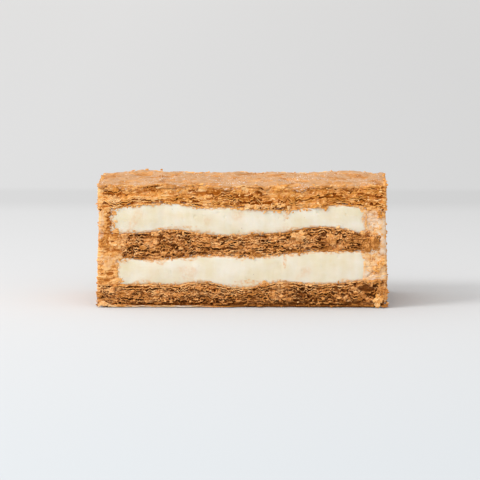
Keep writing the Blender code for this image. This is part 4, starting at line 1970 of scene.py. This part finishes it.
@dataclass
class Studio:
    """A plain pale floor under soft light, and the camera.

    Attributes:
        aim: The point in the middle of the view.
        pitch: How far the camera looks down, in degrees.
        heading: How far it stands to the right of the front cut's middle, in degrees.
        distance: How far the camera stands from the point.
        lens: Its focal length in millimetres.
    """

    aim: Colour
    pitch: float
    heading: float
    distance: float
    lens: float

    FLOOR_HALF = 3.5
    # Floor tones from near to far; the darker band from 0.325 to 0.368 metres is painted shade, like the
    # shading at a table's far edge.
    FLOOR = (
        (-0.35, (0.615, 0.64, 0.66)),
        (-0.03, (0.655, 0.657, 0.661)),
        (0.25, (0.595, 0.595, 0.595)),
        (0.285, (0.585, 0.585, 0.585)),
        (0.325, (0.535, 0.535, 0.535)),
        (0.368, (0.535, 0.535, 0.535)),
        (0.388, (0.57, 0.57, 0.57)),
        (1.9, (0.645, 0.64, 0.635)),
    )
    SHADED_SIDE = (-0.13, 0.13, 0.07)
    SKY = 1.07
    SKY_LEAN = (-0.45, -0.3, 0.0)
    KEY_POWER = 38.0
    KEY_SIZE = 1.2
    KEY_DISTANCE = 3.0
    KEY_PITCH = 40.0
    KEY_HEADING = -63.0

    def stand(
        self, thing: bpy.types.Object, aim: Colour, pitch: float, heading: float, distance: float
    ) -> None:
        """Stands a lamp or the camera round a point and turns it there.

        Args:
            thing: The lamp or camera.
            aim: The point.
            pitch: How far it looks down, in degrees.
            heading: How far it stands to the right of the front, in degrees.
            distance: How far it stands from the point.
        """
        pitch, heading = math.radians(pitch), math.radians(heading)
        level = math.cos(pitch)
        back = Vector((level * math.sin(heading), -level * math.cos(heading), math.sin(pitch)))
        thing.location = Vector(aim) + back * distance
        thing.rotation_euler = back.to_track_quat("Z", "Y").to_euler()

    def floor(self) -> None:
        """Lays the floor, whose tone changes softly from near to far, with a band of painted shade far
        behind and painted shade towards the right.
        """
        finish = Finish("studio_floor")
        bench = finish.bench
        place = bench.add("SeparateXYZ", Vector=bench.add("TexCoord").outputs["Object"]).outputs
        colour = self.FLOOR[0][1]
        for (start, _), (end, tone) in itertools.pairwise(self.FLOOR):
            colour = bench.mixed(bench.between(place[1], start, end), colour, tone)
        shaded = bench.between(place[0], *self.SHADED_SIDE)
        roughness = bench.between(bench.noise(30.0), 0.3, 0.7, 0.9)
        finish.cover(bench.mixed(shaded, colour, (0.0, 0.0, 0.0)), roughness, 0.0)
        half = self.FLOOR_HALF
        mesh = bpy.data.meshes.new("floor")
        corners = [(-half, -half, 0), (half, -half, 0), (half, half, 0), (-half, half, 0)]
        mesh.from_pydata(corners, [], [(0, 1, 2, 3)])
        mesh.materials.append(finish.material)
        added("floor", mesh)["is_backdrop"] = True

    def light(self) -> None:
        """Sets up the soft light all round and the large lamp at the front left."""
        world = bpy.data.worlds.new("studio")
        world.use_nodes = True
        background = world.node_tree.nodes["Background"].inputs
        background["Color"].default_value = (1.0, 1.0, 1.0, 1.0)
        bench = NodeBench(world.node_tree)
        lean = bench.add("VectorMath", {"operation": "DOT_PRODUCT"})
        bench.feed(lean.inputs[0], bench.add("TexCoord").outputs["Generated"])
        bench.feed(lean.inputs[1], self.SKY_LEAN)
        bench.feed(background["Strength"], bench.total(self.SKY, (lean.outputs["Value"], self.SKY)))
        bpy.context.scene.world = world
        lamp = bpy.data.lights.new("key", "AREA")
        lamp.shape, lamp.size, lamp.energy = "DISK", self.KEY_SIZE, self.KEY_POWER
        self.stand(added("key", lamp), (0.0, 0.0, 0.0), self.KEY_PITCH, self.KEY_HEADING, self.KEY_DISTANCE)

    def build(self) -> None:
        """Builds the whole studio."""
        self.floor()
        self.light()
        camera = bpy.data.cameras.new("camera")
        camera.lens, camera.sensor_width = self.lens, 36.0
        bpy.context.scene.camera = added("camera", camera)
        self.stand(bpy.context.scene.camera, self.aim, self.pitch, self.heading, self.distance)
        bpy.context.scene.view_settings.view_transform = "Standard"


# The slice


LOWER_RIM = (-0.1, 0.04)
UPPER_RIM = (0.96, 1.1)

# Each pastry's deep colour, mixed in by the recess mask, is partly darker baking and partly painted shade in
# hollows.
TOP_PASTRY = PastryFinish(
    "top_pastry",
    pale=(0.84, 0.54, 0.25),
    golden=(0.78, 0.375, 0.10),
    brown=(0.55, 0.21, 0.03),
    deep=(0.52, 0.165, 0.008),
)
BROWN_PASTRY = PastryFinish(
    "brown_pastry",
    pale=(0.83, 0.49, 0.205),
    golden=(0.69, 0.31, 0.087),
    brown=(0.43, 0.165, 0.031),
    deep=(0.24, 0.070, 0.008),
)
CRUMB_PASTRY = PastryFinish(
    "crumb_pastry",
    pale=(0.84, 0.565, 0.285),
    golden=(0.78, 0.405, 0.135),
    brown=(0.61, 0.255, 0.055),
    deep=(0.44, 0.15, 0.02),
)
SKIN = PastryFinish(
    "glazed_skin",
    pale=(0.66, 0.34, 0.125),
    golden=(0.57, 0.24, 0.062),
    brown=(0.40, 0.15, 0.03),
    deep=(0.3, 0.1, 0.02),
    smear=(0.53, 0.265, 0.105),
    smear_light=(0.55, 0.32, 0.165),
    roughness=0.7,
    variety=1.4,
    sugar=0.6,
)
SUGAR = PastryFinish(
    "sugar",
    pale=(0.86, 0.81, 0.75),
    golden=(0.72, 0.60, 0.48),
    brown=(0.66, 0.48, 0.32),
    deep=(0.66, 0.48, 0.32),
    roughness=0.3,
)
CREAM = CreamFinish(
    "vanilla_cream",
    light=(0.77, 0.71, 0.595),
    dark=(0.70, 0.61, 0.42),
    blush=(0.72, 0.57, 0.41),
    smear=(0.70, 0.40, 0.18),
    speck=(0.25, 0.20, 0.15),
)

TOP_CREVICES = (
    Crevice(-53, -41, 44.9, 0.45),
    Crevice(-53, -47.5, 43, 0.4),
    Crevice(-53.5, -30, 40.6, 0.5),
    Crevice(-21, -9, 44.2, 0.7),
    Crevice(2.5, 8, 41.2, 0.5),
    Crevice(19.5, 27.5, 41.1, 0.45),
    Crevice(42, 47.5, 41.2, 0.6),
    Crevice(51, 55, 42.1, 0.5),
)
TOP_SPOTS = (
    Spot((11, 39.9), (5.5, 1.1), turn=-12, depth=2, tone=0.6),
    Spot((14.8, 38.1), (3.4, 1), depth=1.8),
    Spot((-14.5, 43.6), (12, 1.6), turn=4, depth=1.3, tone=0.5),
    Spot((-48, 43.4), (12, 1), turn=-2, depth=1.2, tone=0.5),
    Spot((-38, 44.2), (5, 0.9), turn=10, depth=1.1, tone=0.3),
    Spot((-33, 40.2), (9, 0.9), turn=4, depth=1.4, tone=0.3),
    Spot((-24.5, 44.6), (13, 3.4), turn=-3, calm=0.8, tone=-0.2),
    Spot((-42, 41.8), (8, 2.6), turn=3, calm=0.7, tone=-0.1),
    Spot((14.6, 44.6), (12, 3), calm=0.9, tone=-0.1),
    Spot((33, 42.4), (10, 1), turn=5, depth=1.5, tone=0.8),
    Spot((48, 43), (11, 0.9), turn=-10, depth=1.3, tone=0.8),
    Spot((1, 42.8), (9, 1), turn=-4, depth=1.5, tone=0.8),
    Spot((21.6, 45.2), (7, 2.4), turn=-6, calm=0.7, smear=1),
)
MIDDLE_CREVICES = (
    Crevice(-17.5, -7.5, 22.3, 0.6),
    Crevice(-41, -37, 27.2, 0.5),
    Crevice(22, 30, 21.6, 0.4),
)
MIDDLE_SPOTS = (
    Spot((-49.5, 26), (13, 14), calm=1, tone=-1.1),
    Spot((46, 26), (16, 9), tone=0.3),
    Spot((30.4, 27.4), (6.4, 1.5), turn=40, depth=2.2),
    Spot((38.8, 27.6), (1.6, 1.2), depth=2.2),
    Spot((46.4, 26.6), (5, 0.8), turn=25, depth=2.2),
    Spot((50.6, 24.2), (8.5, 1.8), turn=52, depth=2.4, tone=1),
    Spot((48, 21.6), (4.4, 1.1), turn=15, depth=2.2),
    Spot((8.2, 27.3), (3.4, 1), turn=-15, depth=2.2),
    Spot((-25.6, 23.8), (3, 1.2), depth=2.2),
    Spot((-35, 25.5), (7, 4), calm=0.6, tone=-0.2),
    Spot((36, 23.5), (10, 4), calm=0.7, tone=-0.4),
)
BOTTOM_CREVICES = (
    Crevice(-46, -37, 2.8, 0.55),
    Crevice(14, 41, 1.7, 0.5),
    Crevice(-12, -2, 3.2, 0.4),
)
BOTTOM_SPOTS = (
    Spot((0, 6), (140, 20), tone=-0.12),
    Spot((46, 6), (13, 6), tone=0.4),
    Spot((-52, 1.8), (9, 3.4), tone=-0.7, calm=0.6),
    Spot((46.6, 7.5), (7.2, 2.3), turn=-7, depth=2.8, tone=0.6),
    Spot((50.4, 8.6), (2.2, 1.4), turn=30, depth=2.6, tone=0.6),
    Spot((48.4, 5), (6, 0.9), turn=-14, depth=2.2),
    Spot((53.6, 6), (3.6, 7), tone=-0.6, calm=0.6),
    Spot((-49.7, 5), (1.6, 1), depth=2.2),
)
UPPER_SPOTS = (
    Spot((16.4, 35.6), (2.2, 4.4), turn=15, smear=0.75),
    Spot((-50, 32), (4, 3), smear=0.75),
    Spot((-25, 30.6), (16, 1.6), turn=3, smear=0.7),
)
LOWER_SPOTS = (
    Spot((16.2, 18.2), (1.8, 6), smear=0.75),
    Spot((-19, 19.3), (9, 2.8), turn=8, smear=0.8),
    Spot((-31, 17.6), (5, 3), smear=0.7),
    Spot((2.5, 10), (12, 1.8), smear=0.75),
)
LEFT_SPOTS = (
    *(
        Spot((-51.1 + 0.3 * (step % 2), 36.0 - 1.3 * step), (2.3, 0.8), turn=14, depth=0.95, tone=1)
        for step in range(6)
    ),
    Spot((-51.4, 28.2), (5.6, 0.9), depth=0.95, tone=0.8),
    Spot((-51, 25.2), (4.4, 0.6), turn=6, depth=0.8, tone=0.4),
    Spot((-51, 22), (6.2, 1), turn=-4, depth=0.95, tone=0.8),
    Spot((-51.6, 12.9), (1.8, 1.2), depth=0.95, tone=1),
    Spot((-52.4, 10.4), (1.8, 1.1), depth=0.95, tone=1),
    Spot((-45.8, 15), (6.8, 17.5), depth=0.95),
    Spot((-52, 26), (9, 9), tone=0.7),
    Spot((-51.8, 17.8), (6, 5.6), smear=0.55),
    Spot((-48.6, 19.6), (4, 2), smear=0.5),
    Spot((-54.4, 32.4), (3.4, 14), smear=0.6),
)
RIGHT_SPOTS = (
    Spot((48.2, 25.6), (10, 7), turn=-8, depth=0.95, calm=1, tone=1.6),
    Spot((51.6, 25), (7.6, 1.5), turn=52, depth=0.95, tone=1.2),
    Spot((51, 21.4), (3.6, 2.6), smear=1),
    Spot((53, 12.1), (5.4, 1.8), smear=1),
    Spot((50.6, 33.4), (9, 8), smear=0.9),
    Spot((54.2, 27), (1.8, 13), smear=0.9),
    Spot((51.5, 21), (9, 32), smear=0.55),
)
GOLDEN_PLACED = (
    PlacedFlake((14.8, 39.4), (4.4, 1.6), turn=8, tip=35, proud=0.25),
    PlacedFlake((29.4, 39.7), (5.6, 2.6), turn=32, proud=0.2),
    PlacedFlake((31.6, 38), (2.6, 1.1), turn=70),
    PlacedFlake((17.4, 37.4), (3.4, 1.3), turn=75, bake=Bake.PALE, proud=0),
    PlacedFlake((52.4, 35.6), (2.6, 2.8), turn=60, bake=Bake.AMBER, proud=0.2),
    PlacedFlake((46.9, 33), (5, 0.5), turn=88, proud=0),
    PlacedFlake((51.6, 2.9), (5.4, 3.2), turn=75, proud=0.3),
    PlacedFlake((14.6, 45.9), (5.8, 2.2), turn=4, bake=Bake.AMBER),
    PlacedFlake((10, 38.9), (6, 1.4), turn=4),
    PlacedFlake((4, 38.6), (7, 1.6), turn=2, bake=Bake.PALE),
    PlacedFlake((52.6, 17.4), (4.4, 2.8), turn=35),
    PlacedFlake((51, 14.9), (3.6, 2.2), turn=-20),
)
BROWN_PLACED = (
    PlacedFlake((-52.4, 1.3), (5.6, 1.2), turn=-8, bake=Bake.PALE, proud=0.2),
    PlacedFlake((-46.6, 0.9), (6, 0.8), turn=-3, proud=0.2),
    PlacedFlake((53.6, 6.6), (2.6, 5), turn=70, bake=Bake.AMBER),
    PlacedFlake((50.6, 10.2), (5, 1.6), turn=14, bake=Bake.AMBER),
    PlacedFlake((21, 27.5), (5.2, 3), turn=12, bake=Bake.PALE, proud=-0.2),
    PlacedFlake((33.8, 26.3), (5, 3.4), turn=-35, proud=-0.1),
    PlacedFlake((48.8, 24.4), (6, 4.4), turn=30, bake=Bake.BROWN),
    PlacedFlake((9, 9.1), (3.6, 2.2), proud=0),
    # This dark brown flake at the right bottom corner stands in for painted contact shadow there.
    PlacedFlake((54.9, 1.5), (1.4, 2.4), turn=80, bake=Bake.BROWN, proud=-0.8),
)


class MilleFeuille:
    """The whole slice."""

    SUGAR_TRIES = 6000
    SUGAR_RIM = 1.5 * MM
    GRAIN_SIZE, GRAIN_SPREAD = 0.16 * MM, 0.34 * MM

    def __init__(self) -> None:
        """Makes the materials, the three sheets and the skin."""
        effects = SharedEffects()
        finishes = (TOP_PASTRY, BROWN_PASTRY, CRUMB_PASTRY, SKIN, CREAM, SUGAR)
        self.finish = {finish.name: finish.material(effects) for finish in finishes}
        self.bottom = FlakySheet(
            "bottom_sheet", "pastry_bottom", 11, BOTTOM_SPOTS, stretch=(0.5 * MM, 0.5 * MM),
            bubble=1.9 * MM, opened=0.8, floor=0.7 * MM, crevices=BOTTOM_CREVICES,
            undercut=2.0 * MM, scorched=2.2,
        )
        self.middle = FlakySheet(
            "middle_sheet", "pastry_middle", 23, MIDDLE_SPOTS, stretch=(2.6 * MM, 6.0 * MM),
            leaves=10, crevices=MIDDLE_CREVICES,
        )
        self.top = FlakySheet(
            "top_sheet", "pastry_top", 37, TOP_SPOTS,
            bubble=2.8 * MM, opened=0.55, shut=0.25, unrest=0.5, breaks=0.16, crumbs=0.5,
            ceiling=0.7 * MM, crevices=TOP_CREVICES, crevice_depth=1.5 * MM,
        )
        self.skin = GlazedSkin("top_skin", "pastry_top", seed=5)

    def sheets(self) -> None:
        """Builds the three sheets, the skin and the base."""
        brown = self.finish["brown_pastry"]
        self.bottom.place(brown, "brown_sheet")
        self.middle.place(brown, "brown_sheet")
        self.top.place(self.finish["top_pastry"], "golden_crust")
        self.skin.place(self.finish["glazed_skin"], "golden_crust")
        BaseLeaf("base_leaf", "pastry_bottom", seed=8).place(brown, "brown_sheet")

    def cream(self) -> None:
        """Builds the two layers of cream, each pushed a little into the coats at its ends."""
        tuck = (CreamLayer.END_TUCK, CreamLayer.END_TUCK)
        for layer in (
            CreamLayer("lower_cream", "cream_lower", 41, LOWER_SPOTS, tuck),
            CreamLayer("upper_cream", "cream_upper", 43, UPPER_SPOTS, tuck),
        ):
            layer.place(self.finish["vanilla_cream"], "vanilla_cream")

    def coats(self) -> None:
        """Builds the crumb coats on the two ends."""
        material = self.finish["crumb_pastry"]
        left, right = ("left_coat", "crumb_coat_left", 51), ("right_coat", "crumb_coat_right", 53)
        crumbs = LooseFlakes("coat_flakes", "pastry_crumb", 71)
        for coat, flakes in (
            (CrumbCoat(*left, LEFT_SPOTS, end=-1, creamy=-0.8, pressed=1.9, calm=0.35), 240),
            (CrumbCoat(*right, RIGHT_SPOTS, end=1, creamy=-0.05, pressed=1.3, calm=0.1), 380),
        ):
            crumbs.on_coat(coat.place(material, crumbs.slot), coat.end, flakes, -0.2)
        crumbs.place(material)

    def loose_parts(self) -> None:
        """Builds the loose flakes, crumbs and sugar."""
        front = float(CAD_BOX[0][1]) + 0.7 * MM
        brown = LooseFlakes("brown_flakes", "brown_sheet", 61)
        brown.leaf_lips(self.bottom, 240, 0.0)
        brown.leaf_lips(self.middle, 240, 0.0)
        brown.fallen(self.bottom, 420, 0.1)
        brown.fallen(self.middle, 420, 0.0)
        for sheet, band in ((self.bottom, UPPER_RIM), (self.middle, UPPER_RIM), (self.middle, LOWER_RIM)):
            brown.fallen(sheet, 110, -0.3, band)
        brown.put(BROWN_PLACED, front)
        brown.place(self.finish["brown_pastry"])
        golden = LooseFlakes("golden_flakes", "golden_crust", 67)
        golden.leaf_lips(self.top, 300, -0.1)
        golden.fallen(self.top, 340, -0.1)
        golden.fallen(self.top, 260, -0.3, LOWER_RIM)
        golden.put(GOLDEN_PLACED, front)
        golden.place(self.finish["top_pastry"])
        self.sugar()

    def sugar(self) -> None:
        """Scatters sugar over the skin."""
        chance, skin = np.random.default_rng(73), self.skin
        flat = chance.uniform(-1.0, 1.0, (self.SUGAR_TRIES, 2)) * (skin.outline.half - self.SUGAR_RIM)
        flat += skin.outline.centre
        level = spread(flat, 0.0)
        gathered = skin.noise.at(level + 11, 9 * MM) + skin.noise.at(level, 3 * MM)
        flat = flat[gathered > chance.uniform(-0.2, 1.2, len(flat))]
        count = len(flat)
        sizes = self.GRAIN_SIZE + self.GRAIN_SPREAD * chance.random((count, 1)) ** 2
        sizes = sizes * chance.uniform(0.6, 1.0, (count, 3))
        facing, heading = chance.normal(size=(2, count, 3))
        grains = LooseFlakes("sugar_grains", "golden_crust", 73, spokes=5)
        grains.add(spread(flat, skin.upper(*flat.T)), facing, heading, sizes, -0.3, 0.0, 0.5)
        grains.place(self.finish["sugar"])


def main() -> None:
    """Builds the slice and the studio."""
    logging.basicConfig(level=logging.INFO, format="%(name)s: %(message)s")
    slice_of_cake = MilleFeuille()
    slice_of_cake.sheets()
    slice_of_cake.cream()
    slice_of_cake.coats()
    slice_of_cake.loose_parts()
    aim = (-0.76 * MM, -24.4 * MM, 26.05 * MM)
    Studio(aim, pitch=7.2, heading=1.0, distance=1.4, lens=277.2).build()


if __name__ == "__main__":
    main()
